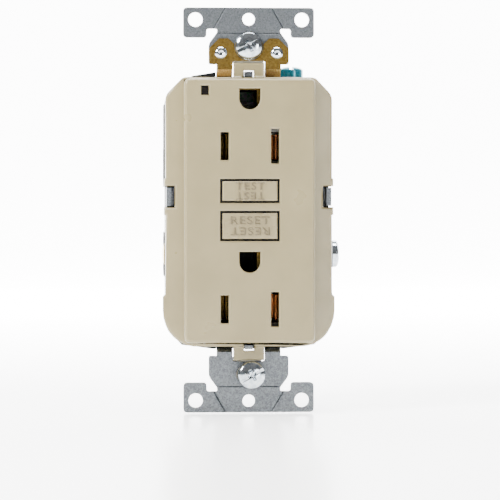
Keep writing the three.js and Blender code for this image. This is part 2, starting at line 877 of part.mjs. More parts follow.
function contactCarrier() {
  const xs = [-carrier.halfWidth, carrier.halfWidth];
  const depth = [carrierFront, carrierBack];
  const bridgeYs = [seatY, seatY + carrier.bridgeDepth];
  const upper = block(xs, depth, [middle.top, carrier.top]);
  const lower = block(xs, depth, [carrier.bottom, middle.bottom]);
  const middleZs = [middle.bottom - 1, middle.top + 1];
  const sides = pairOfBlocks([9.4, carrier.halfWidth], [carrierFront, bridgeYs[1]], middleZs);
  const span = block([-9.6, 9.6], bridgeYs, middleZs);
  const leafPost = block([-9.6, -7.0], [bridgeYs[1] - 0.1, leafFront - 0.02], [testZ - 1.6, testZ + 1.6]);
  const ledHole = block(
    [led.x - led.halfWidth - ledClear, led.x + led.halfWidth + ledClear],
    [0, 20],
    [led.z - led.halfHeight - ledClear, carrier.top + 1],
  );
  const stemHole = block(
    [-stemHalf - gap, stemHalf + gap],
    [0, 20],
    [testZ - stemHalf - gap, testZ + stemHalf + gap],
  );
  return cut(
    join(upper, lower, ...sides, span, leafPost),
    ...carrierPockets(),
    ledHole,
    stemHole,
    rodY(shaft.radius + 0.4, [0, 20], 0, shaft.z),
    rodZ(ground.shankRadius + 0.5, [ground.shelfTop - 9, 50], ground.x, ground.y),
    block(
      [ground.x - ground.headRadius - gap, 20],
      [0, ground.y + ground.headRadius + gap],
      [ground.shelfTop - strap.thickness - gap, 40],
    ),
  );
}

// ---- Rear housing ----

function housingOutline(inset) {
  const half = housing.halfWidth - inset;
  const top = housing.top - inset;
  const bottom = housing.bottom + inset;
  return [
    [9, top],
    [half - housing.corner, top - 1.2],
    [half, top - 1.2 - housing.corner, 1],
    [half, bottom + 1 + housing.corner, 1],
    [half - housing.corner, bottom + 1],
    [9, bottom],
  ];
}

const lipFront = cover.rimY + seat / 2;

// The wall reaches forward past the strap's web to the cover's rim, with room for the strap.
function housingLip() {
  const ys = [lipFront, carrierFront + 0.5];
  const room = symmetric(housingOutline(housing.wall), [ys[0] - 1, ys[1] + 1]);
  const wall = cut(symmetric(housingOutline(0), ys), room);
  const forward = [-5, carrierFront];
  const webReach = strap.railOuter + gap;
  const legReach = strap.legOuter + gap;
  const armReach = strap.armHalfHeight + gap;
  return cut(
    wall,
    block([-webReach, webReach], forward, [housing.top - housing.wall - 1, housing.top + 5]),
    block([-webReach, webReach], forward, [webBottom - gap, 0]),
    block([-legReach, legReach], forward, [housing.bottom - 5, housing.bottom + housing.wall + 1]),
    block([-30, 30], forward, [cover.windowZ - armReach, cover.windowZ + armReach]),
  );
}

const bayFloor = terminal.plateX - 0.1;
const bayYs = [terminal.y - terminal.bayHalfDepth, terminal.y + terminal.bayHalfDepth];

function bayHalf(z) {
  return [z - terminal.bayHalfHeight, z + terminal.bayHalfHeight];
}

function tailBlock(grow) {
  return {
    xs: [terminal.plateX - 3.0 - grow, terminal.plateX + terminal.plateThickness],
    ys: [bayYs[1] - 1.1 - grow, bayYs[1] - 0.3 + grow],
    halfHeight: 2.0 + grow,
  };
}

function rearHousing() {
  const outer = symmetric(housingOutline(0), [carrierFront, housingBack]);
  const room = symmetric(housingOutline(housing.wall), [carrierFront - 1, housingInside]);
  const shell = join(cut(outer, room), housingLip());
  const blocks = bayZs.flatMap((z) =>
    pairOfBlocks(
      [bayFloor - 1.0, housing.halfWidth - 0.5],
      [carrierFront, housingBack - 0.5],
      [z - terminal.bayHalfHeight - 1.2, z + terminal.bayHalfHeight + 1.2],
    ));
  const ribs = sideRib.heights.flatMap((zs) =>
    pairOfBlocks([housing.halfWidth - 0.5, sideRib.outer], [carrierFront + 0.3, sideRib.back], zs));
  const wedge = slab(
    [
      [topWedge.thinX, housing.top - topWedge.sunk],
      [topWedge.thickX, housing.top - topWedge.sunk],
      [topWedge.thickX, housing.top + topWedge.thickRise],
      [topWedge.thinX, housing.top + topWedge.thinRise],
    ],
    [lipFront, carrierFront + topWedge.behindLip],
  );
  const posts = eachCaseScrew((x, z) => rodY(caseScrew.post, [lipFront, housingInside + 0.5], x, z, 16));
  const bays = bayZs.flatMap((z) => pairOfBlocks([bayFloor, housing.halfWidth + 1], bayYs, bayHalf(z)));
  const tail = tailBlock(gap);
  const tailSlots = bayZs.flatMap((z) =>
    pairOfBlocks([tail.xs[0], bayFloor + 1], tail.ys, [z - tail.halfHeight, z + tail.halfHeight]));
  const shankHoles = bayZs.flatMap((z) => [
    rodX(terminal.shankRadius + gap, [bayFloor - 2, bayFloor + 1], terminal.y, z, 16),
    rodX(terminal.shankRadius + gap, [-bayFloor - 1, -bayFloor + 2], terminal.y, z, 16),
  ]);
  const wireX = terminal.plateX + terminal.plateThickness + terminal.wireHoleRadius;
  const wireHoles = bayZs.flatMap((z) =>
    [-1, 1].flatMap((side) =>
      [-1, 1].map((up) =>
        rodY(terminal.wireHoleRadius, [bayYs[1] - 1, housingBack + 1], side * wireX, z + up * 2.5, 10))));
  const screwHoles = eachCaseScrew((x, z) => rodY(caseScrew.radius + 0.15, [0, 40], x, z, 12));
  const headHoles = eachCaseScrew((x, z) =>
    rodY(caseScrew.headRadius + 0.15, [housingBack - caseScrew.headHeight - 0.2, 40], x, z, 16));
  const shelfRoom = block(
    [ground.x - ground.headRadius - gap, housing.halfWidth - housing.corner - 1],
    [0, ground.y + ground.headRadius + 0.6],
    [ground.shelfTop - strap.thickness - gap, 40],
  );
  return cut(
    join(shell, ...blocks, ...posts, ...ribs, wedge),
    ...bays,
    ...tailSlots,
    ...shankHoles,
    ...wireHoles,
    ...screwHoles,
    ...headHoles,
    shelfRoom,
  );
}

// ---- Terminals ----

const clampSeat = terminal.plateX + terminal.plateThickness;

function terminalPlate() {
  const tail = tailBlock(0);
  const half = terminal.plateHalfSize;
  const plate = block([terminal.plateX, clampSeat], [terminal.y - half, tail.ys[1]], [-half, half]);
  const lug = block(tail.xs, tail.ys, [-tail.halfHeight, tail.halfHeight]);
  return cut(join(plate, lug), rodX(terminal.shankRadius + 0.1, [0, 40], terminal.y, 0));
}

// Both ride out from the plate by the distance that the screw is backed off.
function clampPlate(out) {
  const near = clampSeat + 0.1 + out;
  const half = terminal.clampHalfSize;
  const plate = block(
    [near, near + terminal.clampThickness],
    [terminal.y - half, terminal.y + half],
    [-half, half],
  );
  return cut(plate, rodX(terminal.shankRadius + 0.1, [0, 40], terminal.y, 0));
}

function terminalScrew(out) {
  const head = clampSeat + 0.1 + out + terminal.clampThickness + 0.05;
  const shape = { ...terminal, length: terminal.shankLength };
  return screw(shape).rotateZ(0.5).rotateY(Math.PI / 2).translate(head, terminal.y, 0);
}

function addTerminal(name, side, z, out, metal) {
  const place = (geometry) => {
    const placed = side > 0 ? geometry : toGeometry(toSolid(geometry).mirror([1, 0, 0]));
    return placed.translate(0, 0, z);
  };
  add(`${name}_terminal_plate`, place(terminalPlate()), metal());
  add(`${name}_clamp_plate`, place(clampPlate(out)), metal());
  add(`${name}_terminal_screw`, place(terminalScrew(out)), metal());
}

// ---- Screws of the strap and case ----

// Along -Y, the head in front.
function frontScrew(shape, z, headBack) {
  return screw(shape).rotateX(Math.PI / 2).translate(0, headBack, z);
}

function screwRetainer(z) {
  const { halfSize, thickness, y } = retainer;
  const washer = block([-halfSize, halfSize], [y, y + thickness], [z - halfSize, z + halfSize]);
  return cut(washer, rodY(boxScrew.shankRadius + 0.05, [0, 20], 0, z));
}

function caseScrewAt(x, z) {
  const shape = {
    headRadius: caseScrew.headRadius,
    headHeight: caseScrew.headHeight,
    shankRadius: caseScrew.radius,
    length: housingBack - caseScrew.headHeight - 0.2 - bossFront - gap,
  };
  const y = housingBack - caseScrew.headHeight - 0.15;
  return screw(shape, 0.6).rotateX(-Math.PI / 2).translate(x, y, z);
}

// ---- Ground screw ----

const groundHeadZ = ground.shelfTop + 1.4;

function groundScrew() {
  return screw(ground).translate(ground.x, ground.y, groundHeadZ);
}

function groundClamp() {
  const zs = [groundHeadZ - 0.85, groundHeadZ - 0.05];
  const half = ground.headRadius - 0.2;
  const washer = block([ground.x - half, ground.x + half], [ground.y - half, ground.y + half], zs);
  return cut(washer, rodZ(ground.shankRadius + 0.1, [0, 50], ground.x, ground.y));
}

// ---- Circuit board and what stands on it ----

function circuitBoard() {
  const { halfWidth, halfHeight } = boardSize;
  const notch = pairOfBlocks([bayFloor - 1.4, 30], [0, 40], [-20, 20]);
  const board = block([-halfWidth, halfWidth], [boardFront, boardBack], [-halfHeight, halfHeight]);
  return cut(board, ...notch);
}

function ledLens() {
  const xs = [led.x - led.halfWidth + 0.1, led.x + led.halfWidth - 0.1];
  const zs = [led.z - led.halfHeight + 0.1, led.z + led.halfHeight - 0.1];
  const pipe = block(xs, [faceFront + led.recess, boardFront - 2.0], zs);
  const lip = 0.25;
  const collar = block([xs[0] - lip, xs[1] + lip], [faceBack + 0.1, faceBack + 1.1], zs);
  return join(pipe, collar);
}

function ledBody() {
  return block(
    [led.x - 1.1, led.x + 1.1],
    [boardFront - 1.9, boardFront],
    [led.z - 1.2, boardSize.halfHeight - 0.2],
  );
}

function solenoidBobbin() {
  const { bottom, top, boreRadius, coreRadius, outerRadius } = solenoid;
  const flange = 1.0;
  return turned([
    [boreRadius, bottom],
    [outerRadius, bottom],
    [outerRadius, bottom + flange],
    [coreRadius, bottom + flange],
    [coreRadius, top - flange],
    [outerRadius, top - flange],
    [outerRadius, top],
    [boreRadius, top],
    [boreRadius, bottom],
  ]).translate(0, solenoidY, 0);
}

function solenoidWinding() {
  const zs = [solenoid.bottom + 1.05, solenoid.top - 1.05];
  return ring(solenoid.coreRadius + 0.05, solenoid.outerRadius - 0.3, zs).translate(0, solenoidY, 0);
}

function solenoidFrame() {
  const { bottom, top, frame, outerRadius } = solenoid;
  const reach = outerRadius + 0.2;
  const inside = [bottom - 0.05, top + 0.05];
  const outside = [inside[0] - frame, inside[1] + frame];
  const corners = [
    [reach, outside[1]],
    [reach, inside[1]],
    [-reach, inside[1]],
    [-reach, inside[0]],
    [reach, inside[0]],
    [reach, outside[0]],
    [-reach - frame, outside[0]],
    [-reach - frame, outside[1]],
  ];
  const bracket = slab(corners, [solenoidY - reach + 0.4, solenoidY + reach - 0.2]);
  return cut(bracket, rodZ(plunger.radius + 0.2, [0, bottom + 1], 0, solenoidY));
}

function solenoidPlunger() {
  return rodZ(plunger.radius, [plunger.bottom, plunger.top], 0, solenoidY);
}

const plungerSpring = { radius: 2.1, wire: 0.3, turns: 3 };

// A flat plate with a keyhole round the shaft's neck.
function latchSlide() {
  const ys = [solenoidY - latch.thickness / 2, solenoidY + latch.thickness / 2];
  const plate = block([-latch.halfWidth, latch.halfWidth], ys, [latch.bottom, plunger.bottom - 0.1]);
  const reach = shaft.radius + gap;
  return cut(plate, block([-reach, reach], [0, 40], [latch.holeBottom, latch.holeTop]));
}

function coilFront(index) {
  return coils.front + index * (coils.thickness + coils.spacing);
}

function toroid(index) {
  const front = coilFront(index);
  const half = coils.thickness / 2;
  const lump = [[coils.bore, -half * 0.6], [coils.bore + 0.6, -half], [coils.radius - 0.8, -half],
    [coils.radius, -half * 0.5], [coils.radius, half * 0.5], [coils.radius - 0.8, half],
    [coils.bore + 0.6, half], [coils.bore, half * 0.6], [coils.bore, -half * 0.6]];
  return turned(lump, 24).rotateX(-Math.PI / 2).translate(0, front + half, coils.z);
}

// A cup that opens to the rear, with a tube through the middle for the line bars.
function coilHousing() {
  const inner = coils.bore - 0.2;
  const outer = coils.radius + 0.2;
  const front = coils.front - 0.1;
  const back = coilFront(1) + coils.thickness + 0.3;
  const { wall } = coils;
  const profile = [
    [inner - wall, front - wall],
    [outer + wall, front - wall],
    [outer + wall, back],
    [outer, back],
    [outer, front],
    [inner, front],
    [inner, back],
    [inner - wall, back],
    [inner - wall, front - wall],
  ];
  return turned(profile, 24).rotateX(-Math.PI / 2).translate(0, 0, coils.z);
}

const armBack = arm.front + arm.thickness;

// From the board, forward through the coils, then out under the contact arm.
function lineConductor(sign) {
  const zs = [coils.z - lineBar.halfHeight, coils.z + lineBar.halfHeight];
  const wingYs = [armBack + 0.05, armBack + 0.05 + contact.sheet];
  const run = block([lineBar.inner, lineBar.outer], [wingYs[0], boardFront], zs);
  const right = join(run, block([lineBar.inner, lineBar.reach], wingYs, zs));
  return sign > 0 ? right : toGeometry(toSolid(right).mirror([1, 0, 0]));
}

// A flat arm with a contact button near its free end.
function contactArm(sign) {
  const flat = block([arm.inner, arm.outer], [arm.front, armBack], [arm.bottom, arm.top]);
  const pad = rodY(arm.padRadius, [arm.front - 0.4, arm.front + 0.1], contact.spineX, arm.top - 1.6, 12);
  const right = join(flat, pad);
  return sign > 0 ? right : toGeometry(toSolid(right).mirror([1, 0, 0]));
}

function contactLifter() {
  const zs = [lifter.bottom, lifter.top];
  const middleZ = (lifter.bottom + lifter.top) / 2;
  const coreYs = [lifter.front, solenoidY - lifter.latchRoom];
  const core = block([-lifter.halfWidth, lifter.halfWidth], coreYs, zs);
  const wingYs = [armBack + 0.15, armBack + 0.15 + lifter.wingThickness];
  const wings = block([-lifter.wing, lifter.wing], wingYs, [middleZ - 1.5, middleZ + 1.5]);
  return cut(join(core, wings), rodY(shaft.radius + gap, [0, 40], 0, shaft.z));
}

const leaf = { left: -9.4, right: 6.4, thickness: 0.4, halfHeight: 1.5, pinX: 5.0 };

function testLeaf() {
  return block(
    [leaf.left, leaf.right],
    [leafFront, leafFront + leaf.thickness],
    [testZ - leaf.halfHeight, testZ + leaf.halfHeight],
  );
}

// Stands on the board, with the wire end that the leaf touches in front.
function testResistor() {
  const tip = leafFront + leaf.thickness + 2.2;
  const profile = [
    [0, tip],
    [0.4, tip],
    [0.4, tip + 2.0],
    [1.0, tip + 2.4],
    [1.0, boardFront - 1.0],
    [0.4, boardFront - 0.6],
    [0.4, boardFront],
    [0, boardFront],
  ];
  return turned(profile, 14)
    .rotateX(-Math.PI / 2)
    .translate(leaf.pinX, 0, testZ);
}

// ---- The assembly ----

add('front_cover', frontCover(), ivory());
add('test_button', testButton(), ivory());
add('reset_button', resetButton(), ivory());
add('led_lens', ledLens(), finish('#0c0b0a', 0.2, 0));
add('mounting_strap', mountingStrap(), zinc());
add('ground_bridge', groundBridge(), brass());
[['left', -1], ['right', 1]].forEach(([side, sign]) => {
  const rivet = bridgeRivet().rotateX(Math.PI / 2).translate(sign * bridge.rivetX, 0, bridge.rivetZ);
  add(`bridge_rivet_${side}`, rivet, steel());
});
const topScrewBack = -strap.thickness - boxScrew.standOff;
add('mounting_screw_top', frontScrew(boxScrew, strap.screwZ, topScrewBack), steel());
add('screw_retainer_top', screwRetainer(strap.screwZ), nylon());

// The lower screw hangs loose in its slot, its head swung to the right.
const lowerScrew = new THREE.Group();
lowerScrew.rotation.z = THREE.MathUtils.degToRad(boxScrew.lowTilt);
outletModel.add(lowerScrew);
const lowScrewBack = -strap.thickness - boxScrew.lowStandOff;
lowerScrew.add(add('mounting_screw_bottom', frontScrew(boxScrew, -strap.screwZ, lowScrewBack), steel()));
lowerScrew.add(add('screw_retainer_bottom', screwRetainer(-strap.screwZ), nylon()));
add('ground_screw', groundScrew(), green());
add('ground_clamp', groundClamp(), steel());
addTerminal('upper_left', -1, terminal.upperZ, terminal.upperLeftOut, brass);
addTerminal('upper_right', 1, terminal.upperZ, terminal.upperRightOut, steel);
addTerminal('lower_left', -1, terminal.lowerZ, terminal.lowerLeftOut, brass);
addTerminal('lower_right', 1, terminal.lowerZ, terminal.lowerRightOut, steel);

add('rear_housing', rearHousing(), blackPlastic());
[['upper', caseScrew.topZ], ['lower', caseScrew.bottomZ]].forEach(([level, z]) => {
  add(`${level}_left_case_screw`, caseScrewAt(-caseScrew.x, z), steel());
  add(`${level}_right_case_screw`, caseScrewAt(caseScrew.x, z), steel());
});

add('contact_carrier', contactCarrier(), nylon());
add('hot_face_contact', faceContact(-1), brass());
add('neutral_face_contact', faceContact(1), copper());
add('upper_ground_contact', groundContact(upperGroundZ, [upperGroundZ - 4.4, upperGroundZ + 3.1]), brass());
add('lower_ground_contact', groundContact(lowerGroundZ, [lowerGroundZ - 4.6, lowerGroundZ + 3.8]), brass());

add('reset_shaft', resetShaft(), steel());
add('reset_spring', buttonSpring(skirtBack, shaft.z), steel());
add('test_spring', buttonSpring(skirtBack, testZ), steel());
add('test_leaf', testLeaf(), brass());
add('contact_lifter', contactLifter(), nylon());
add('contact_arm_hot', contactArm(-1), copper());
add('contact_arm_neutral', contactArm(1), copper());
add('latch_slide', latchSlide(), zinc());
add('solenoid_plunger', solenoidPlunger(), steel());
const plungerSpringEnds = [plunger.bottom, solenoid.bottom - solenoid.frame - 0.05];
add('plunger_spring', coilSpring(plungerSpring, plungerSpringEnds).translate(0, solenoidY, 0), steel());
add('solenoid_bobbin', solenoidBobbin(), nylon());
add('solenoid_winding', solenoidWinding(), copper());
add('solenoid_frame', solenoidFrame(), zinc());

add('circuit_board', circuitBoard(), finish('#1f6b3a', 0.5, 0));
add('led', ledBody(), finish('#d8e6d0', 0.3, 0));
add('line_bar_hot', lineConductor(-1), copper());
add('line_bar_neutral', lineConductor(1), copper());
add('sense_coil', toroid(0), copper());
add('ground_neutral_coil', toroid(1), copper());
add('coil_housing', coilHousing(), blackPlastic());
add('test_resistor', testResistor(), finish('#b99c6b', 0.5, 0));
add('control_chip', block([-12.4, -8.4], [boardFront - 1.7, boardFront], [-3.4, 1.6]), blackPlastic());
add('surge_suppressor', rodX(3.3, [8.0, 10.6], boardFront - 3.4, 14, 20), finish('#c8742a', 0.5, 0));
add('capacitor', block([-11.4, -8.6], [boardFront - 6.5, boardFront], [22, 28]), finish('#8a6a2c', 0.5, 0));

export default outletModel;
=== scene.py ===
# Looks for a ground-fault outlet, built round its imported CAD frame.
# Sizes in the dictionaries are millimetres.
import json
import math

import bpy
from mathutils import Matrix, Vector


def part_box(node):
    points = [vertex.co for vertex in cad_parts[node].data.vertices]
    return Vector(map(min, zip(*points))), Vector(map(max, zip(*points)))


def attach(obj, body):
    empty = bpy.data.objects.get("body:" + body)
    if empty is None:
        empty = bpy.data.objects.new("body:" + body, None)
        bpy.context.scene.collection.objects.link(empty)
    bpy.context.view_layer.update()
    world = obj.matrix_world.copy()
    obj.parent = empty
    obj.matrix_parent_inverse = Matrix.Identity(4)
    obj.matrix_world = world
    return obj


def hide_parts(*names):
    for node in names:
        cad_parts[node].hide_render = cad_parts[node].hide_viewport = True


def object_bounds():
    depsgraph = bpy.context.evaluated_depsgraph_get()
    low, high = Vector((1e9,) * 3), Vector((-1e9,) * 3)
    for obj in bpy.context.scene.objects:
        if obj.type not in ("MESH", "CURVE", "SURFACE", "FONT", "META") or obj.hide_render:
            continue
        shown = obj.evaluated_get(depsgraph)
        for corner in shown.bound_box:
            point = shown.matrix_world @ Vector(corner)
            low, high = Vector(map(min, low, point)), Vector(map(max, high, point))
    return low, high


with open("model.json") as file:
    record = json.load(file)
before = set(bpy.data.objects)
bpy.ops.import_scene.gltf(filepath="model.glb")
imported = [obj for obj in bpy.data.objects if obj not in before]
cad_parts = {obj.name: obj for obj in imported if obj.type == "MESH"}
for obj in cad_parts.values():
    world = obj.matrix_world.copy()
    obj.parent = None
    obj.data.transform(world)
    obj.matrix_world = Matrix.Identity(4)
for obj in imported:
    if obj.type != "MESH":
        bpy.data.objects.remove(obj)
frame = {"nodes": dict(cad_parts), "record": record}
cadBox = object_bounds()
mm = 0.001
sharpCorner = math.radians(25)
print("frame loaded")


# picking and shaping

def pickOnly(*pieces):
    if bpy.context.mode != "OBJECT":
        bpy.ops.object.mode_set(mode="OBJECT")
    bpy.ops.object.select_all(action="DESELECT")
    for piece in pieces:
        piece.select_set(True)
        bpy.context.view_layer.objects.active = piece


def newPiece(name):  # the primitive just added, under its own name
    piece = bpy.context.object
    piece.name = piece.data.name = name
    return piece


def bakePlace(piece):
    pickOnly(piece)
    bpy.ops.object.transform_apply(location=True, rotation=True, scale=True)


def placeCopy(piece, name, turn=(0, 0, 0), at=(0, 0, 0)):
    copy = piece.copy()
    copy.data = piece.data.copy()
    copy.name = copy.data.name = name
    bpy.context.scene.collection.objects.link(copy)
    copy.rotation_euler = [math.radians(angle) for angle in turn]
    copy.location = at
    bakePlace(copy)
    return copy


def dropPiece(piece):
    bpy.data.objects.remove(piece, do_unlink=True)


def copyNode(node, name, weld=0.004):  # a CAD mesh, welded and with its flat triangles merged
    piece = frame["nodes"][node].copy()
    piece.data = piece.data.copy()
    piece.name = piece.data.name = name
    bpy.context.scene.collection.objects.link(piece)
    piece.parent = None
    piece.matrix_world = Matrix.Identity(4)
    pickOnly(piece)
    if piece.data.has_custom_normals:
        bpy.ops.mesh.customdata_custom_splitnormals_clear()
    bpy.ops.object.mode_set(mode="EDIT")
    bpy.ops.mesh.select_all(action="SELECT")
    bpy.ops.mesh.remove_doubles(threshold=weld * mm)
    bpy.ops.mesh.dissolve_limited(angle_limit=math.radians(1.0))
    bpy.ops.object.mode_set(mode="OBJECT")
    return piece


def clearPicks(mesh):
    for part in (mesh.vertices, mesh.edges, mesh.polygons):
        for element in part:
            element.select = False


def chooseEdges(piece, test):  # sharp edges whose two ends pass the test, in millimetres
    mesh = piece.data
    clearPicks(mesh)
    sides = {}
    for face in mesh.polygons:
        for key in face.edge_keys:
            sides.setdefault(key, []).append(face.normal.copy())
    for edge in mesh.edges:
        normals = sides.get(edge.key, [])
        if len(normals) != 2 or normals[0].angle(normals[1], 0) < sharpCorner:
            continue
        ends = [mesh.vertices[i].co * 1000 for i in edge.vertices]
        edge.select = test(*ends)
    bpy.context.tool_settings.mesh_select_mode = (False, True, False)


def chooseFaces(piece, test):  # faces whose middle (mm) and normal pass the test
    clearPicks(piece.data)
    for face in piece.data.polygons:
        face.select = test(face.center * 1000, face.normal)
    bpy.context.tool_settings.mesh_select_mode = (False, False, True)


def roundEdges(piece, width, steps, test, clamp=True):
    chooseEdges(piece, test)
    pickOnly(piece)
    bpy.ops.object.mode_set(mode="EDIT")
    bpy.ops.mesh.bevel(offset=width * mm, segments=steps, affect="EDGES", clamp_overlap=clamp)
    bpy.ops.object.mode_set(mode="OBJECT")


def applyModifier(piece, kind, **settings):
    pickOnly(piece)
    modifier = piece.modifiers.new(kind.lower(), kind)
    for key, value in settings.items():
        setattr(modifier, key, value)
    bpy.ops.object.modifier_apply(modifier=modifier.name)


def cutAway(piece, cutters):
    for cutter in cutters:
        applyModifier(piece, "BOOLEAN", object=cutter, operation="DIFFERENCE", solver="EXACT")
        dropPiece(cutter)


def joinPieces(first, *others):
    pickOnly(*others, first)
    bpy.ops.object.join()
    return first


def addBlock(name, xs, ys, zs, turn=(0, 0, 0)):
    centre = [(low + high) / 2 * mm for low, high in (xs, ys, zs)]
    bpy.ops.mesh.primitive_cube_add(size=mm, location=centre)
    piece = newPiece(name)
    piece.scale = [high - low for low, high in (xs, ys, zs)]
    piece.rotation_euler = [math.radians(angle) for angle in turn]
    bakePlace(piece)
    return piece


def finishPiece(piece, material, body, nodes=(), angle=34):
    piece.data.materials.clear()
    piece.data.materials.append(material)
    pickOnly(piece)
    bpy.ops.object.shade_smooth_by_angle(angle=math.radians(angle))
    applyModifier(piece, "WEIGHTED_NORMAL", keep_sharp=True)  # flats stay flat beside their rounded edges
    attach(piece, body)
    if nodes:
        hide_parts(*nodes)
    return piece


# materials

def toLinear(hexColour):
    channels = [int(hexColour[i:i + 2], 16) / 255 for i in (1, 3, 5)]
    return [c / 12.92 if c <= 0.04045 else ((c + 0.055) / 1.055) ** 2.4 for c in channels] + [1]


def addNode(tree, kind, settings={}, links={}):
    node = tree.nodes.new(kind)
    for key, value in settings.items():
        if isinstance(key, int) or key[0].isupper():
            node.inputs[key].default_value = value
        else:
            setattr(node, key, value)
    for key, socket in links.items():
        tree.links.new(socket, node.inputs[key])
    return node


def makeSurface(name, look):  # colour and gloss drift over patches; a finer grain raises the surface
    material = bpy.data.materials.new(name)
    material.use_nodes = True
    tree = material.node_tree
    shader = tree.nodes["Principled BSDF"]
    for key, value in look.get("shader", {}).items():
        shader.inputs[key].default_value = value
    place = addNode(tree, "ShaderNodeTexCoord").outputs["Object"]
    if "stretch" in look:
        place = addNode(tree, "ShaderNodeMapping", {"Scale": look["stretch"]}, {"Vector": place}).outputs[0]
    patches = addNode(tree, "ShaderNodeTexNoise", {"Scale": 1 / (look["patch"] * mm), "Detail": 3.0},
                      {"Vector": place}).outputs["Fac"]
    grain = addNode(tree, "ShaderNodeTexNoise", {"Scale": 1 / (look["grain"] * mm), "Detail": 2.0},
                    {"Vector": place}).outputs["Fac"]
    if "cells" in look:  # crystal flakes, each its own tone
        flakes = addNode(tree, "ShaderNodeTexVoronoi", {"Scale": 1 / (look["cells"] * mm)}, {"Vector": place})
        patches = addNode(tree, "ShaderNodeMix", {"data_type": "FLOAT", 0: 0.55},
                          {2: patches, 3: flakes.outputs["Color"]}).outputs[0]
    spread = addNode(tree, "ShaderNodeMapRange", {"From Min": 0.3, "From Max": 0.7},
                     {"Value": patches}).outputs[0]
    tones = {"data_type": "RGBA", 6: toLinear(look["dark"]), 7: toLinear(look["light"])}
    colour = addNode(tree, "ShaderNodeMix", tones, {0: spread}).outputs[2]
    low, high = look["roughness"]
    gloss = addNode(tree, "ShaderNodeMapRange", {"To Min": high, "To Max": low}, {"Value": spread}).outputs[0]
    height = addNode(tree, "ShaderNodeBump", {"Strength": 1.0, "Distance": look["height"] * mm},
                     {"Height": grain})
    tree.links.new(colour, shader.inputs["Base Color"])
    tree.links.new(gloss, shader.inputs["Roughness"])
    tree.links.new(height.outputs[0], shader.inputs["Normal"])
    return material


# injection-moulded nylon, spark-eroded tool: satin, warm, with a faint grain
mouldedIvory = makeSurface("satinMouldedIvoryNylon", {
    "light": "#877c5b", "dark": "#7f7454", "patch": 9, "grain": 0.35, "height": 0.012,
    "roughness": (0.27, 0.34), "shader": {"IOR": 1.5}})
# the same nylon, polished where fingers press
buttonIvory = makeSurface("smoothMouldedIvoryNylon", {
    "light": "#887d5d", "dark": "#807557", "patch": 5, "grain": 0.3, "height": 0.006,
    "roughness": (0.22, 0.3), "shader": {"IOR": 1.5}})
# hot-dip zinc on steel strip: mid grey flakes, some bright, some dull
galvanisedSteel = makeSurface("mottledGalvanisedSteel", {
    "light": "#777b7e", "dark": "#5e6266", "patch": 0.5, "cells": 0.34, "grain": 0.3, "height": 0.02,
    "roughness": (0.34, 0.52), "shader": {"Metallic": 1.0}})
# rolled brass strip, dulled to olive by handling
rolledBrass = makeSurface("dullRolledBrass", {
    "light": "#7d6735", "dark": "#644f23", "patch": 0.5, "cells": 0.5, "grain": 0.25, "height": 0.012,
    "roughness": (0.32, 0.46), "shader": {"Metallic": 1.0}})
# the same brass, painted bright gold on the bent legs: a painted highlight where they face the light, with
# lines along the bend
highlightPaintedBrass = makeSurface("brassWithPaintedHighlight", {
    "light": "#f4d79c", "dark": "#d6ae68", "patch": 0.35, "grain": 0.2, "height": 0.008,
    "stretch": (1, 1, 0.08), "roughness": (0.3, 0.42), "shader": {"Metallic": 0.85}})
# bright zinc plate over machined steel: mirror-like with a blue cast
brightZincPlate = makeSurface("brightZincPlatedSteel", {
    "light": "#d8dde1", "dark": "#a5afb7", "patch": 1.2, "grain": 0.2, "height": 0.004,
    "roughness": (0.08, 0.16), "shader": {"Metallic": 1.0}})
# brass-dipped screw: warm and shiny
brightBrassPlate = makeSurface("brightBrassPlatedSteel", {
    "light": "#e0c98a", "dark": "#b09050", "patch": 1.5, "grain": 0.2, "height": 0.004,
    "roughness": (0.18, 0.3), "shader": {"Metallic": 1.0}})
# blue-green dyed chromate over steel: coloured metal under a thin lacquer
dyedGreenPlate = makeSurface("blueGreenDyedPlate", {
    "light": "#078a9c", "dark": "#056676", "patch": 1.2, "grain": 0.2, "height": 0.005,
    "roughness": (0.2, 0.34), "shader": {"Metallic": 0.3, "Coat Weight": 0.4, "Coat Roughness": 0.12}})
# glass-filled black nylon: dull, with short pale fibres near the skin; also laid on the button skirts as
# painted shade for the gap
blackNylonAndSkirtShade = makeSurface("matteBlackNylonAlsoSkirtShade", {
    "light": "#131416", "dark": "#08090a", "patch": 0.8, "grain": 0.25, "height": 0.02,
    "roughness": (0.46, 0.6), "shader": {"IOR": 1.52, "Specular IOR Level": 0.25}})
# raised words, rougher than the cap, coloured a shade darker: painted shade for the shadow along the edges of
# the letters
shadeDarkenedWordIvory = makeSurface("shadeDarkenedIvoryNylon", {
    "light": "#685d41", "dark": "#5a5037", "patch": 0.8, "grain": 0.3, "height": 0.01,
    "roughness": (0.5, 0.62), "shader": {"IOR": 1.5}})
# smoked acrylic light pipe: black until lit
smokedAcrylic = makeSurface("smokedAcrylic", {
    "light": "#0d0906", "dark": "#080503", "patch": 2, "grain": 0.5, "height": 0.002,
    "roughness": (0.3, 0.4), "shader": {"IOR": 1.49, "Specular IOR Level": 0.15}})
# vulcanised fibre washer: pale, dry, felted
pressedFibre = makeSurface("pressedPaleFibre", {
    "light": "#dcd7c8", "dark": "#c9c2b0", "patch": 1.4, "grain": 0.15, "height": 0.02,
    "roughness": (0.6, 0.8), "shader": {"IOR": 1.45}})
# natural nylon mouldings inside: off-white, slightly waxy
whiteNylon = makeSurface("waxyNaturalNylon", {
    "light": "#e0ded6", "dark": "#cfccc2", "patch": 4, "grain": 0.3, "height": 0.01,
    "roughness": (0.4, 0.52), "shader": {"IOR": 1.53}})
# phosphor bronze strip: copper-orange, stamped, with drawn lines
stampedBronze = makeSurface("stampedPhosphorBronze", {
    "light": "#d08a55", "dark": "#a0602f", "patch": 1.4, "grain": 0.2, "height": 0.006,
    "stretch": (1, 1, 0.2), "roughness": (0.24, 0.4), "shader": {"Metallic": 1.0}})
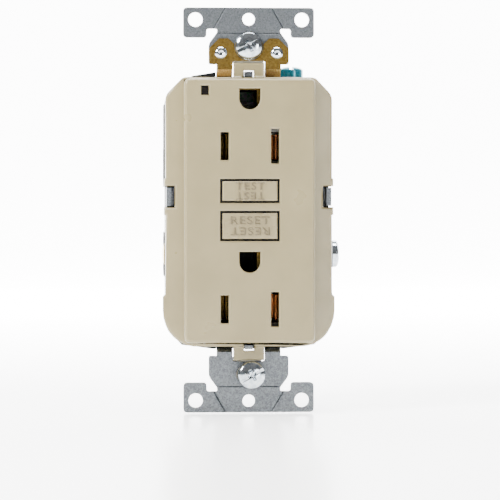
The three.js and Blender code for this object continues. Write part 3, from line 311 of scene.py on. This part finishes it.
# enamelled magnet wire, 0.2 mm: glossy copper bands with dark gaps between turns
woundWire = makeSurface("enamelledMagnetWire", {
    "light": "#b5602c", "dark": "#6f3416", "patch": 0.2, "grain": 0.2, "height": 0.05,
    "stretch": (0.15, 0.15, 1), "roughness": (0.2, 0.34),
    "shader": {"Metallic": 0.8, "Coat Weight": 0.6, "Coat Roughness": 0.1}})
# solder-masked glass-epoxy board: deep green, woven texture faintly through it
boardLaminate = makeSurface("solderMaskedGlassEpoxy", {
    "light": "#2a7d47", "dark": "#165230", "patch": 0.9, "grain": 0.4, "height": 0.012,
    "roughness": (0.22, 0.36), "shader": {"IOR": 1.55, "Coat Weight": 0.3, "Coat Roughness": 0.1}})
# cast epoxy lamp body: water-clear, slightly yellow
castResin = makeSurface("castClearResin", {
    "light": "#e6efd9", "dark": "#d3dfc4", "patch": 1, "grain": 0.4, "height": 0.003,
    "roughness": (0.06, 0.14), "shader": {"IOR": 1.52, "Transmission Weight": 0.5}})
# dipped ceramic bodies: thick lacquer with pinholes
tanLacquer = makeSurface("tanDippedCeramic", {
    "light": "#c9ab78", "dark": "#a98a59", "patch": 1.2, "grain": 0.5, "height": 0.03,
    "roughness": (0.25, 0.4), "shader": {"IOR": 1.55}})
orangeLacquer = makeSurface("orangeDippedCeramic", {
    "light": "#d8802d", "dark": "#b0611b", "patch": 1.5, "grain": 0.5, "height": 0.03,
    "roughness": (0.2, 0.36), "shader": {"IOR": 1.55}})
# metallised film block in amber tape
amberTape = makeSurface("amberFilmTape", {
    "light": "#a8842f", "dark": "#7d5f1c", "patch": 1.2, "grain": 0.3, "height": 0.01,
    "roughness": (0.16, 0.3), "shader": {"IOR": 1.6, "Coat Weight": 0.4, "Coat Roughness": 0.1}})
print("materials ready")


# front cover: moulded shell with a raised face, its flange falling away to the sides
coverLook = {"faceRise": 3.4, "faceHalfWidth": 16.5, "fall": 0.2, "fallReach": 5.2, "flangeHalfHeight": 34.6,
             "faceRound": 0.85, "flangeRound": 0.6, "openingRound": 0.46, "openingSlope": 0.5,
             "tabRound": 0.3, "rimOut": 0.6, "rimHeight": 33.5, "openingZone": (12.7, 31.6),
             "tabHalfWidth": 4, "tabTop": 33.75, "tabBottom": -34.6, "weld": 0.04, "near": 0.02}


def rimCutters(cover, wide, frontY, test):  # one flared plug for each opening whose rim passes the test
    chooseEdges(cover, test)
    pickOnly(cover)
    bpy.ops.object.mode_set(mode="EDIT")
    bpy.ops.mesh.duplicate()
    bpy.ops.mesh.separate(type="SELECTED")
    bpy.ops.object.mode_set(mode="OBJECT")
    rims = next(piece for piece in bpy.context.selected_objects if piece != cover)
    pickOnly(rims)
    bpy.ops.mesh.separate(type="LOOSE")
    loops = list(bpy.context.selected_objects)
    for loop in loops:
        pickOnly(loop)
        bpy.ops.object.mode_set(mode="EDIT")
        bpy.ops.mesh.select_all(action="SELECT")
        bpy.ops.mesh.edge_face_add()
        deep = wide * coverLook["openingSlope"] * mm
        bpy.ops.mesh.extrude_region_move(TRANSFORM_OT_translate={"value": (0, deep, 0)})
        bpy.ops.mesh.select_all(action="SELECT")
        bpy.ops.mesh.normals_make_consistent(inside=False)
        bpy.ops.object.mode_set(mode="OBJECT")
        corners = [corner.co for corner in loop.data.vertices]
        lowX, highX = min(c.x for c in corners), max(c.x for c in corners)
        lowZ, highZ = min(c.z for c in corners), max(c.z for c in corners)
        chooseFaces(loop, lambda middle, normal: abs(normal.y) > 0.9 and middle.y < frontY + 0.05)
        grow = [(high - low + 2 * wide * mm) / (high - low) for low, high in ((lowX, highX), (lowZ, highZ))]
        bpy.ops.object.mode_set(mode="EDIT")
        bpy.ops.transform.resize(value=(grow[0], 1, grow[1]),
                                 center_override=((lowX + highX) / 2, frontY * mm, (lowZ + highZ) / 2))
        bpy.ops.transform.translate(value=(0, -coverLook["near"] * mm, 0))
        bpy.ops.object.mode_set(mode="OBJECT")
    return loops


def makeCover():
    cover = copyNode("front_cover", "mouldedCover", coverLook["weld"])
    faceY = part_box("front_cover")[0].y * 1000
    flangeY = faceY + coverLook["faceRise"]
    edgeX = coverLook["faceHalfWidth"]
    near = coverLook["near"]
    for side in (-1, 1):  # new corners where the fall begins
        pickOnly(cover)
        bpy.ops.object.mode_set(mode="EDIT")
        bpy.ops.mesh.select_all(action="SELECT")
        bpy.ops.mesh.bisect(plane_co=(side * edgeX * mm, 0, 0), plane_no=(1, 0, 0))
        bpy.ops.object.mode_set(mode="OBJECT")
    for corner in cover.data.vertices:
        out = abs(corner.co.x) * 1000 - edgeX
        atFlange = abs(corner.co.y * 1000 - flangeY) < near
        if out > 0 and atFlange and abs(corner.co.z) * 1000 < coverLook["flangeHalfHeight"]:
            corner.co.y += coverLook["fall"] * out * mm
    inZone = lambda p: abs(p.x) < coverLook["openingZone"][0] and abs(p.z) < coverLook["openingZone"][1]
    onFace = lambda p: abs(p.y - faceY) < near
    pastTabLine = lambda p: p.z > coverLook["tabTop"] or p.z < coverLook["tabBottom"]
    atTab = lambda p: abs(p.x) < coverLook["tabHalfWidth"] and pastTabLine(p)
    lowestY = flangeY + coverLook["fall"] * coverLook["fallReach"]
    onFlange = lambda p: flangeY - near < p.y < lowestY and not onFace(p)
    atRimOfHole = lambda a, b: onFace(a) and onFace(b) and inZone(a) and inZone(b)
    cutAway(cover, rimCutters(cover, coverLook["openingRound"], faceY, atRimOfHole))
    roundEdges(cover, coverLook["tabRound"], 2, lambda a, b: atTab(a) and atTab(b) and max(a.y, b.y) < 0)
    roundEdges(cover, coverLook["faceRound"], 4,
               lambda a, b: onFace(a) and onFace(b) and not inZone(a) and not inZone(b), False)
    outward = lambda p: abs(p.x) > edgeX + coverLook["rimOut"] or abs(p.z) > coverLook["rimHeight"]
    atRim = lambda p: onFlange(p) and outward(p)
    roundEdges(cover, coverLook["flangeRound"], 3, lambda a, b: atRim(a) and atRim(b) and not atTab(a),
               False)
    return finishPiece(cover, mouldedIvory, "outlet_body", ["front_cover"])


makeCover()
print("cover shaped")


# buttons: a cap with softened edges over a skirt, and raised words both ways up
buttonLook = {"capRound": 0.42, "cornerRound": 0.2, "skirtBack": 1.95, "skirtDepth": 1.0, "skirtRound": 0.15,
              "stemHalfWidth": 1.2, "wordHeight": 2.0, "wordRise": 4.4, "capDepth": 2.1, "slip": 1.1,
              "test": {"width": 7.3, "rows": (1.28, -1.28)}, "reset": {"width": 9.8, "rows": (1.4, -1.35)}}


def makeButton(node, name, socketRadius):
    low, high = [corner * 1000 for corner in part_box(node)]
    slip = buttonLook["slip"]
    cap = addBlock(name, (low.x + slip, high.x - slip), (low.y, low.y + buttonLook["capDepth"]),
                   (low.z + slip, high.z - slip))
    roundEdges(cap, buttonLook["capRound"], 4, lambda a, b: a.y < low.y + 0.01 and b.y < low.y + 0.01)
    roundEdges(cap, buttonLook["cornerRound"], 2,
               lambda a, b: abs(a.x - b.x) < 0.01 and abs(a.z - b.z) < 0.01)
    skirtY = low.y + buttonLook["skirtBack"]
    skirtRound = buttonLook["skirtRound"]
    skirt = addBlock("skirt", (low.x, high.x), (skirtY, skirtY + buttonLook["skirtDepth"]), (low.z, high.z))
    roundEdges(skirt, skirtRound, 2, lambda a, b: True)
    middle = (low.z + high.z) / 2
    if socketRadius:
        bpy.ops.mesh.primitive_cylinder_add(vertices=28, radius=socketRadius * mm, depth=0.9 * mm,
                                            location=(0, (skirtY + 1.35) * mm, middle * mm),
                                            rotation=(math.pi / 2, 0, 0))
        stem = newPiece("stem")
        bakePlace(stem)
    else:
        half = buttonLook["stemHalfWidth"]
        stem = addBlock("stem", (-half, half), (skirtY + 0.9, high.y), (middle - half, middle + half))
    roundEdges(stem, skirtRound, 2, lambda a, b: True)
    button = joinPieces(cap, skirt, stem)
    finishPiece(button, buttonIvory, node, [node])
    # the black nylon goes on the skirt as painted shade for the gap
    button.data.materials.append(blackNylonAndSkirtShade)
    for face in button.data.polygons:  # the skirt and stem are painted black: painted shade for the dark gap round the cap
        if face.center.y * 1000 > skirtY - 0.01:
            face.material_index = 1
    return button


wordLook = {"extrude": 0.04, "bevel": 0.02, "offset": -0.015, "spacing": 1.12}  # in units of the font size


def raiseWord(word, name, width, middle, frontY, flipped):
    pickOnly()
    bpy.ops.object.text_add()
    bpy.context.object.data.body = word
    bpy.context.object.data.extrude = wordLook["extrude"]
    bpy.context.object.data.bevel_depth = wordLook["bevel"]
    bpy.context.object.data.offset = wordLook["offset"]
    bpy.context.object.data.bevel_resolution = 1
    bpy.context.object.data.resolution_u = 4
    bpy.context.object.data.space_character = wordLook["spacing"]
    bpy.ops.object.convert(target="MESH")
    piece = newPiece(name)
    xs = [corner.co.x for corner in piece.data.vertices]
    ys = [corner.co.y for corner in piece.data.vertices]
    centre = Vector(((min(xs) + max(xs)) / 2, (min(ys) + max(ys)) / 2, 0))
    piece.data.transform(Matrix.Translation(-centre))
    piece.scale = (width * mm / (max(xs) - min(xs)), buttonLook["wordHeight"] * mm / (max(ys) - min(ys)),
                   buttonLook["wordRise"] * mm)
    bakePlace(piece)
    piece.rotation_euler = (math.pi / 2, math.pi if flipped else 0, 0)
    piece.location = (0, frontY * mm, middle * mm)
    bakePlace(piece)
    return piece


def wordPair(word, node, name, sizes):
    low, high = [corner * 1000 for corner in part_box(node)]
    middle = (low.z + high.z) / 2
    rows = [raiseWord(word, name, sizes["width"], middle + offset, low.y, offset < 0)
            for offset in sizes["rows"]]
    # the words take the darker nylon, a painted shade standing in for the shadow round the letters
    return finishPiece(joinPieces(*rows), shadeDarkenedWordIvory, node)


makeButton("test_button", "testButtonCap", 0)
makeButton("reset_button", "resetButtonCap", 1.9)
wordPair("TEST", "test_button", "testWords", buttonLook["test"])
wordPair("RESET", "reset_button", "resetWords", buttonLook["reset"])
print("buttons shaped")


# mounting strap: stamped from galvanised strip, its outer ears scored so that they snap off
strapLook = {"edgeRound": 0.14, "earsFrom": 36.2, "frontY": -1.2, "scoreTop": (5.8, 51.5),
             "scoreFoot": (8.9, 46.0), "scoreWidth": 0.34, "foldHalf": 7.8, "foldZ": 44.8}


def scoreCutter(side, up, frontY):
    (topX, topZ), (footX, footZ) = strapLook["scoreTop"], strapLook["scoreFoot"]
    run, rise = footX - topX, footZ - topZ
    length = math.hypot(run, rise)
    half = strapLook["scoreWidth"] / 2
    cutter = addBlock("scoreCutter", (-half, half), (-half, half), (-length / 2, length / 2), (0, 0, 45))
    cutter.rotation_euler = (0, side * up * math.atan2(run, rise), 0)
    cutter.location = (side * (topX + footX) / 2 * mm, frontY * mm, up * (topZ + footZ) / 2 * mm)
    bakePlace(cutter)
    return cutter


def makeStrap():  # scores across the ears, and a fold line at each end
    strap = copyNode("mounting_strap", "stampedStrap")
    flatY = strapLook["frontY"]
    earsFrom = strapLook["earsFrom"]
    roundEdges(strap, strapLook["edgeRound"], 2, lambda a, b: abs(a.z) > earsFrom and abs(b.z) > earsFrom)
    cutAway(strap, [scoreCutter(side, up, flatY) for side in (-1, 1) for up in (-1, 1)])
    half = strapLook["scoreWidth"] * 0.35
    reach = strapLook["foldHalf"]
    folds = []
    for up in (-1, 1):
        fold = addBlock("foldCutter", (-reach, reach), (-half, half), (-half, half), (45, 0, 0))
        fold.location = (0, flatY * mm, up * strapLook["foldZ"] * mm)
        bakePlace(fold)
        folds.append(fold)
    cutAway(strap, folds)
    return finishPiece(strap, galvanisedSteel, "outlet_body", ["mounting_strap"])


makeStrap()
print("strap shaped")


# ground bridge: brass strip over the top of the strap, held by two rivets
bridgeLook = {"edgeRound": 0.14, "plateFrom": 36.5, "legsBelow": 36.1}


def makeBridge():
    brass = copyNode("ground_bridge", "brassBridge")
    plateFrom = bridgeLook["plateFrom"]
    roundEdges(brass, bridgeLook["edgeRound"], 2, lambda a, b: a.z > plateFrom and b.z > plateFrom)
    finishPiece(brass, rolledBrass, "outlet_body", ["ground_bridge"])
    # a second slot holding the painted highlight for the bent legs
    brass.data.materials.append(highlightPaintedBrass)
    for face in brass.data.polygons:  # the front faces of the bent legs take the painted highlight
        if face.center.z * 1000 < bridgeLook["legsBelow"] and face.normal.y < -0.2:
            face.material_index = 1


makeBridge()


# screws and rivets are one turned shape each, crowned in steps of (inward, upward)
panHead = {"radius": 3.5, "side": 0.85,
           "crown": ((0.22, 0.38), (0.5, 0.34), (0.8, 0.24), (0.9, 0.13), (0.7, 0.06)),
           "slot": (0.85, 0.8), "cross": (3.7, 0.95, 1.35), "core": 1.34, "crest": 0.4, "pitch": 0.794,
           "length": 22.0, "slotTurn": 28, "lean": 8, "loosenedY": -3.8}
bindingHead = {"radius": 3.5, "side": 0.95,
               "crown": ((0.15, 0.3), (0.4, 0.3), (0.8, 0.25), (0.9, 0.14), (0.8, 0.06)),
               "slot": (0.95, 0.85), "cross": (3.6, 0.9, 1.2), "core": 1.62, "crest": 0.44, "pitch": 0.794,
               "length": 6.4}
groundHead = {"radius": 3.2, "side": 1.85,
              "crown": ((0.15, 0.3), (0.4, 0.3), (0.8, 0.25), (0.8, 0.14), (0.6, 0.06)),
              "slot": (1.0, 0.9), "cross": (3.2, 0.9, 1.2), "core": 1.4, "crest": 0.4, "pitch": 0.794,
              "length": 5.6, "slotTurn": 90}
rivetHead = {"radius": 1.5, "side": 0.2,
             "crown": ((0.2, 0.2), (0.3, 0.14), (0.25, 0.06), (0.15, -0.12), (0.2, -0.08))}


def headHeight(sizes):
    return sizes["side"] + sum(upward for inward, upward in sizes["crown"])


def crownedDisc(name, sizes, sides):
    pickOnly()
    bpy.ops.mesh.primitive_cylinder_add(vertices=sides, radius=sizes["radius"] * mm, depth=sizes["side"] * mm,
                                        location=(0, 0, sizes["side"] / 2 * mm))
    disc = newPiece(name)
    bakePlace(disc)
    chooseFaces(disc, lambda middle, normal: normal.z > 0.9)
    bpy.ops.object.mode_set(mode="EDIT")
    for inward, upward in sizes["crown"]:
        bpy.ops.mesh.inset(thickness=inward * mm)
        bpy.ops.transform.translate(value=(0, 0, upward * mm))
    bpy.ops.object.mode_set(mode="OBJECT")
    return disc


def turnedScrew(name, sizes):
    head = crownedDisc(name, sizes, 56)
    top = headHeight(sizes)
    slotWidth, slotDepth = sizes["slot"]
    reach = sizes["radius"] + 0.5
    slot = addBlock("slotCutter", (-reach, reach), (-slotWidth / 2, slotWidth / 2),
                    (top - slotDepth, top + 1))
    crossLength, crossWidth, crossDepth = sizes["cross"]
    bars = []
    for turn in (0, 90):
        bar = addBlock("crossCutter", (-crossLength / 2, crossLength / 2), (-crossWidth / 2, crossWidth / 2),
                       (top - crossDepth, top + 0.5))
        chooseFaces(bar, lambda middle, normal: normal.z < -0.9)
        bpy.ops.object.mode_set(mode="EDIT")
        bpy.ops.transform.resize(value=(0.45, 0.6, 1))
        bpy.ops.object.mode_set(mode="OBJECT")
        bar.rotation_euler = (0, 0, math.radians(turn))
        bakePlace(bar)
        bars.append(bar)
    cutAway(head, [slot, *bars])
    roundEdges(head, 0.06, 2, lambda a, b: a.z > 0.5 and b.z > 0.5)
    length = sizes["length"]
    bpy.ops.mesh.primitive_cylinder_add(vertices=24, radius=sizes["core"] * mm, depth=length * mm,
                                        location=(0, 0, -length / 2 * mm + 0.05 * mm))
    core = newPiece("core")
    bakePlace(core)
    roundEdges(core, 0.35, 3, lambda a, b: a.z < -length + 0.2 and b.z < -length + 0.2)
    bpy.ops.mesh.primitive_circle_add(vertices=3, radius=sizes["crest"] * mm,
                                      rotation=(math.pi / 2, math.pi / 2, 0),
                                      location=(sizes["core"] * mm, 0, (-length + 0.7) * mm))
    ridge = newPiece("ridge")
    bakePlace(ridge)
    turns = int((length - 1.3) / sizes["pitch"])
    applyModifier(ridge, "SCREW", axis="Z", screw_offset=sizes["pitch"] * mm, iterations=turns, steps=24,
                  render_steps=24, use_normal_calculate=True)
    return joinPieces(head, core, ridge)


def placeScrews():
    plain = turnedScrew("plainScrew", panHead)
    height = headHeight(panHead)
    plain.rotation_euler = (0, 0, math.radians(panHead["slotTurn"]))
    bakePlace(plain)
    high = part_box("mounting_screw_top")
    topPlace = (0, high[0].y + height * mm, (high[0].z + high[1].z) / 2)
    topPiece = placeCopy(plain, "upperMountingScrew", (90, 0, 0), topPlace)
    finishPiece(topPiece, brightZincPlate, "top_mounting_screw", ["mounting_screw_top"])
    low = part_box("mounting_screw_bottom")
    lean = math.radians(panHead["lean"])  # the loose screw leans, so its head is off centre
    lowPlace = (0, panHead["loosenedY"] * mm, (low[0].z + low[1].z) / 2)
    lowPiece = placeCopy(plain, "lowerMountingScrew", (90, 0, 0), lowPlace)
    lowPiece.rotation_euler = (0, 0, lean)
    bakePlace(lowPiece)
    finishPiece(lowPiece, brightZincPlate, "bottom_mounting_screw", ["mounting_screw_bottom"])
    dropPiece(plain)
    binding = turnedScrew("bindingScrew", bindingHead)
    height = headHeight(bindingHead)
    for level in ("upper", "lower"):
        for side, sign in (("left", -1), ("right", 1)):
            node = f"{level}_{side}_terminal_screw"
            lowCorner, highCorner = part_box(node)
            middle = (lowCorner + highCorner) / 2
            outer = highCorner.x if sign > 0 else lowCorner.x
            place = (outer - sign * height * mm, middle.y, middle.z)
            piece = placeCopy(binding, f"{level}{side.capitalize()}TerminalScrew", (0, 90 * sign, 0), place)
            plate = brightBrassPlate if side == "left" else brightZincPlate
            finishPiece(piece, plate, f"{level}_{side}_screw", [node])
    dropPiece(binding)
    green = turnedScrew("greenScrew", groundHead)
    lowCorner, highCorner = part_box("ground_screw")
    middle = (lowCorner + highCorner) / 2
    place = (middle.x, middle.y, highCorner.z - headHeight(groundHead) * mm)
    piece = placeCopy(green, "greenGroundScrew", (0, 0, groundHead["slotTurn"]), place)
    finishPiece(piece, dyedGreenPlate, "ground_screw", ["ground_screw"])
    dropPiece(green)


def placeRivets():
    shape = crownedDisc("rivetShape", rivetHead, 32)
    height = max(corner.co.z for corner in shape.data.vertices)
    for side in ("left", "right"):
        low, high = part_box(f"bridge_rivet_{side}")
        middle = (low + high) / 2
        front = placeCopy(shape, f"{side}Rivet", (90, 0, 0), (middle.x, low.y + height, middle.z))
        back = placeCopy(shape, "rivetTail", (-90, 0, 0), (middle.x, high.y - height, middle.z))
        bpy.ops.mesh.primitive_cylinder_add(vertices=24, radius=1.05 * mm, depth=high.y - low.y - height,
                                            location=middle, rotation=(math.pi / 2, 0, 0))
        stem = newPiece("rivetStem")
        bakePlace(stem)
        piece = joinPieces(front, back, stem)
        finishPiece(piece, brightZincPlate, "outlet_body", [f"bridge_rivet_{side}"])
    dropPiece(shape)


placeScrews()
placeRivets()
print("screws and rivets turned")


# everything else starts from its CAD mesh and gets softened edges of its own: (round, material, slot)
plainPieces = {
    "rear_housing": (0.25, blackNylonAndSkirtShade, "black_plastic"),
    "led_lens": (0.08, smokedAcrylic, "dark_lens"),
    "screw_retainer_top": (0.12, pressedFibre, "fibre"),
    "screw_retainer_bottom": (0.12, pressedFibre, "fibre"),
    "ground_clamp": (0.12, dyedGreenPlate, "plated_steel"),
    "upper_left_terminal_plate": (0.12, rolledBrass, "brass_sheet"),
    "lower_left_terminal_plate": (0.12, rolledBrass, "brass_sheet"),
    "upper_right_terminal_plate": (0.12, galvanisedSteel, "plated_steel"),
    "lower_right_terminal_plate": (0.12, galvanisedSteel, "plated_steel"),
    "upper_left_clamp_plate": (0.12, rolledBrass, "brass_sheet"),
    "lower_left_clamp_plate": (0.12, rolledBrass, "brass_sheet"),
    "upper_right_clamp_plate": (0.12, galvanisedSteel, "plated_steel"),
    "lower_right_clamp_plate": (0.12, galvanisedSteel, "plated_steel"),
    "upper_left_case_screw": (0.1, brightZincPlate, "plated_steel"),
    "upper_right_case_screw": (0.1, brightZincPlate, "plated_steel"),
    "lower_left_case_screw": (0.1, brightZincPlate, "plated_steel"),
    "lower_right_case_screw": (0.1, brightZincPlate, "plated_steel"),
    "contact_carrier": (0.12, whiteNylon, "white_plastic"),
    "hot_face_contact": (0.08, rolledBrass, "copper_alloy"),
    "neutral_face_contact": (0.08, stampedBronze, "copper_alloy"),
    "upper_ground_contact": (0.08, rolledBrass, "brass_sheet"),
    "lower_ground_contact": (0.08, rolledBrass, "brass_sheet"),
    "reset_shaft": (0.08, brightZincPlate, "plated_steel"),
    "reset_spring": (0, brightZincPlate, "plated_steel"),
    "test_spring": (0, brightZincPlate, "plated_steel"),
    "test_leaf": (0.06, stampedBronze, "copper_alloy"),
    "contact_lifter": (0.15, whiteNylon, "white_plastic"),
    "contact_arm_hot": (0.08, stampedBronze, "copper_alloy"),
    "contact_arm_neutral": (0.08, stampedBronze, "copper_alloy"),
    "latch_slide": (0.08, galvanisedSteel, "plated_steel"),
    "solenoid_plunger": (0.1, brightZincPlate, "plated_steel"),
    "plunger_spring": (0, brightZincPlate, "plated_steel"),
    "solenoid_bobbin": (0.1, whiteNylon, "white_plastic"),
    "solenoid_winding": (0, woundWire, "enamelled_wire"),
    "solenoid_frame": (0.1, galvanisedSteel, "galvanised_steel"),
    "circuit_board": (0.06, boardLaminate, "green_laminate"),
    "led": (0.15, castResin, "clear_resin"),
    "line_bar_hot": (0.08, stampedBronze, "copper_alloy"),
    "line_bar_neutral": (0.08, stampedBronze, "copper_alloy"),
    "sense_coil": (0.3, woundWire, "enamelled_wire"),
    "ground_neutral_coil": (0.3, woundWire, "enamelled_wire"),
    "coil_housing": (0.15, blackNylonAndSkirtShade, "black_plastic"),
    "test_resistor": (0.08, tanLacquer, "tan_ceramic"),
    "control_chip": (0.08, blackNylonAndSkirtShade, "black_plastic"),
    "surge_suppressor": (0.3, orangeLacquer, "orange_ceramic"),
    "capacitor": (0.15, amberTape, "amber_film"),
}
bodyOf = {node: body for body, nodes in frame["record"]["behaviour"]["bodies"].items() for node in nodes}
deforming = ("reset_spring", "test_spring", "plunger_spring")  # these keep their CAD meshes
for node, (width, material, slot) in plainPieces.items():
    if node in deforming:
        frame["nodes"][node].data.materials.clear()
        frame["nodes"][node].data.materials.append(material)
        continue
    words = node.split("_")
    piece = copyNode(node, words[0] + "".join(word.capitalize() for word in words[1:]) + "Made")
    if width:
        roundEdges(piece, width, 2, lambda a, b: True)
    finishPiece(piece, material, bodyOf[node], [node])
print("inner pieces finished")


# a pale sweep behind and under, soft lights, and the camera
stageLook = {"sweepSize": 3000, "sweepBack": 500, "sweepHeight": 1600, "sweepRound": 300, "floorDrop": 0.4,
             "cameraTurn": -3.4, "cameraRise": 1.4, "distance": 620, "frameWidth": 127.2,
             "aim": (0.4, -10.1)}


def makeStage():
    floorZ = cadBox[0].z - stageLook["floorDrop"] * mm
    pickOnly()
    bpy.ops.mesh.primitive_plane_add(size=stageLook["sweepSize"] * mm,
                                     location=(0, -stageLook["sweepBack"] * mm, floorZ))
    sweep = newPiece("paleSweep")
    bakePlace(sweep)
    chooseEdgesBack(sweep)
    bpy.ops.object.mode_set(mode="EDIT")
    bpy.ops.mesh.extrude_region_move(TRANSFORM_OT_translate={"value": (0, 0, stageLook["sweepHeight"] * mm)})
    bpy.ops.object.mode_set(mode="OBJECT")
    farY = stageLook["sweepSize"] / 2 - stageLook["sweepBack"] - 100
    roundEdges(sweep, stageLook["sweepRound"], 12,
               lambda a, b: abs(a.z - b.z) < 1 and a.z < 0 and min(a.y, b.y) > farY)
    paper = bpy.data.materials.new("paleGlossPaper")
    paper.use_nodes = True
    tree = paper.node_tree
    shader = tree.nodes["Principled BSDF"]
    place = addNode(tree, "ShaderNodeTexCoord").outputs["Object"]
    fibres = addNode(tree, "ShaderNodeTexNoise", {"Scale": 400.0, "Detail": 3.0},
                     {"Vector": place}).outputs["Fac"]
    whites = {"data_type": "RGBA", 6: toLinear("#f6f6f6"), 7: toLinear("#fdfdfd")}
    tone = addNode(tree, "ShaderNodeMix", whites, {0: fibres}).outputs[2]
    tree.links.new(tone, shader.inputs["Base Color"])
    shader.inputs["Roughness"].default_value = 0.25
    shader.inputs["Specular IOR Level"].default_value = 0.08
    shader.inputs["Emission Color"].default_value = (1, 1, 1, 1)
    depth = addNode(tree, "ShaderNodeSeparateXYZ", {}, {"Vector": place}).outputs["Y"]
    further = {"From Min": 0.06, "From Max": 0.5, "To Min": 1.0, "To Max": 9.0}
    glow = addNode(tree, "ShaderNodeMapRange", further, {"Value": depth}).outputs[0]  # lit from behind
    tree.links.new(glow, shader.inputs["Emission Strength"])
    sweep.data.materials.append(paper)
    pickOnly(sweep)
    bpy.ops.object.shade_smooth()


def chooseEdgesBack(sweep):
    clearPicks(sweep.data)
    far = max(corner.co.y for corner in sweep.data.vertices)
    for edge in sweep.data.edges:
        edge.select = all(sweep.data.vertices[i].co.y > far - mm for i in edge.vertices)
    bpy.context.tool_settings.mesh_select_mode = (False, True, False)


def addSoftLight(name, at, size, power, tint):
    data = bpy.data.lights.new(name, "AREA")
    data.shape = "RECTANGLE"
    data.size, data.size_y = size
    data.energy = power
    data.color = tint
    light = bpy.data.objects.new(name, data)
    bpy.context.scene.collection.objects.link(light)
    light.location = at
    light.rotation_euler = (-Vector(at)).to_track_quat("-Z", "Y").to_euler()


def makeCamera():
    turn, rise = math.radians(stageLook["cameraTurn"]), math.radians(stageLook["cameraRise"])
    back = Vector((math.sin(turn) * math.cos(rise), -math.cos(turn) * math.cos(rise), math.sin(rise)))
    aim = Vector((stageLook["aim"][0] * mm, 0, stageLook["aim"][1] * mm))
    data = bpy.data.cameras.new("camera")
    camera = bpy.data.objects.new("camera", data)
    bpy.context.scene.collection.objects.link(camera)
    camera.location = aim + back * stageLook["distance"] * mm
    camera.rotation_euler = (-back).to_track_quat("-Z", "Y").to_euler()
    data.sensor_width = 36
    data.lens = 36 * stageLook["distance"] / stageLook["frameWidth"]
    data.clip_start, data.clip_end = 0.01, 10
    bpy.context.scene.camera = camera


def makeWorld():
    world = bpy.data.worlds.new("softStudio")
    world.use_nodes = True
    tree = world.node_tree
    sky = tree.nodes["Background"]
    way = addNode(tree, "ShaderNodeTexCoord").outputs["Generated"]
    split = addNode(tree, "ShaderNodeSeparateXYZ", {}, {"Vector": way})
    upward = {"From Min": -0.6, "From Max": 0.8, "To Min": 0.03, "To Max": 0.32}
    lift = addNode(tree, "ShaderNodeMapRange", upward, {"Value": split.outputs["Z"]}).outputs[0]
    tree.links.new(lift, sky.inputs["Strength"])
    sky.inputs["Color"].default_value = (1, 1, 1, 1)
    bpy.context.scene.world = world


makeStage()
addSoftLight("keyLight", (-0.5, -0.36, 0.36), (0.16, 0.2), 12.0, (1, 0.99, 0.97))
addSoftLight("fillLight", (0.4, -0.6, -0.02), (0.16, 0.3), 2.0, (0.94, 0.97, 1))
addSoftLight("topLight", (0.0, -0.04, 0.6), (0.5, 0.2), 8.0, (1, 1, 1))
makeWorld()
makeCamera()
print("stage lit")
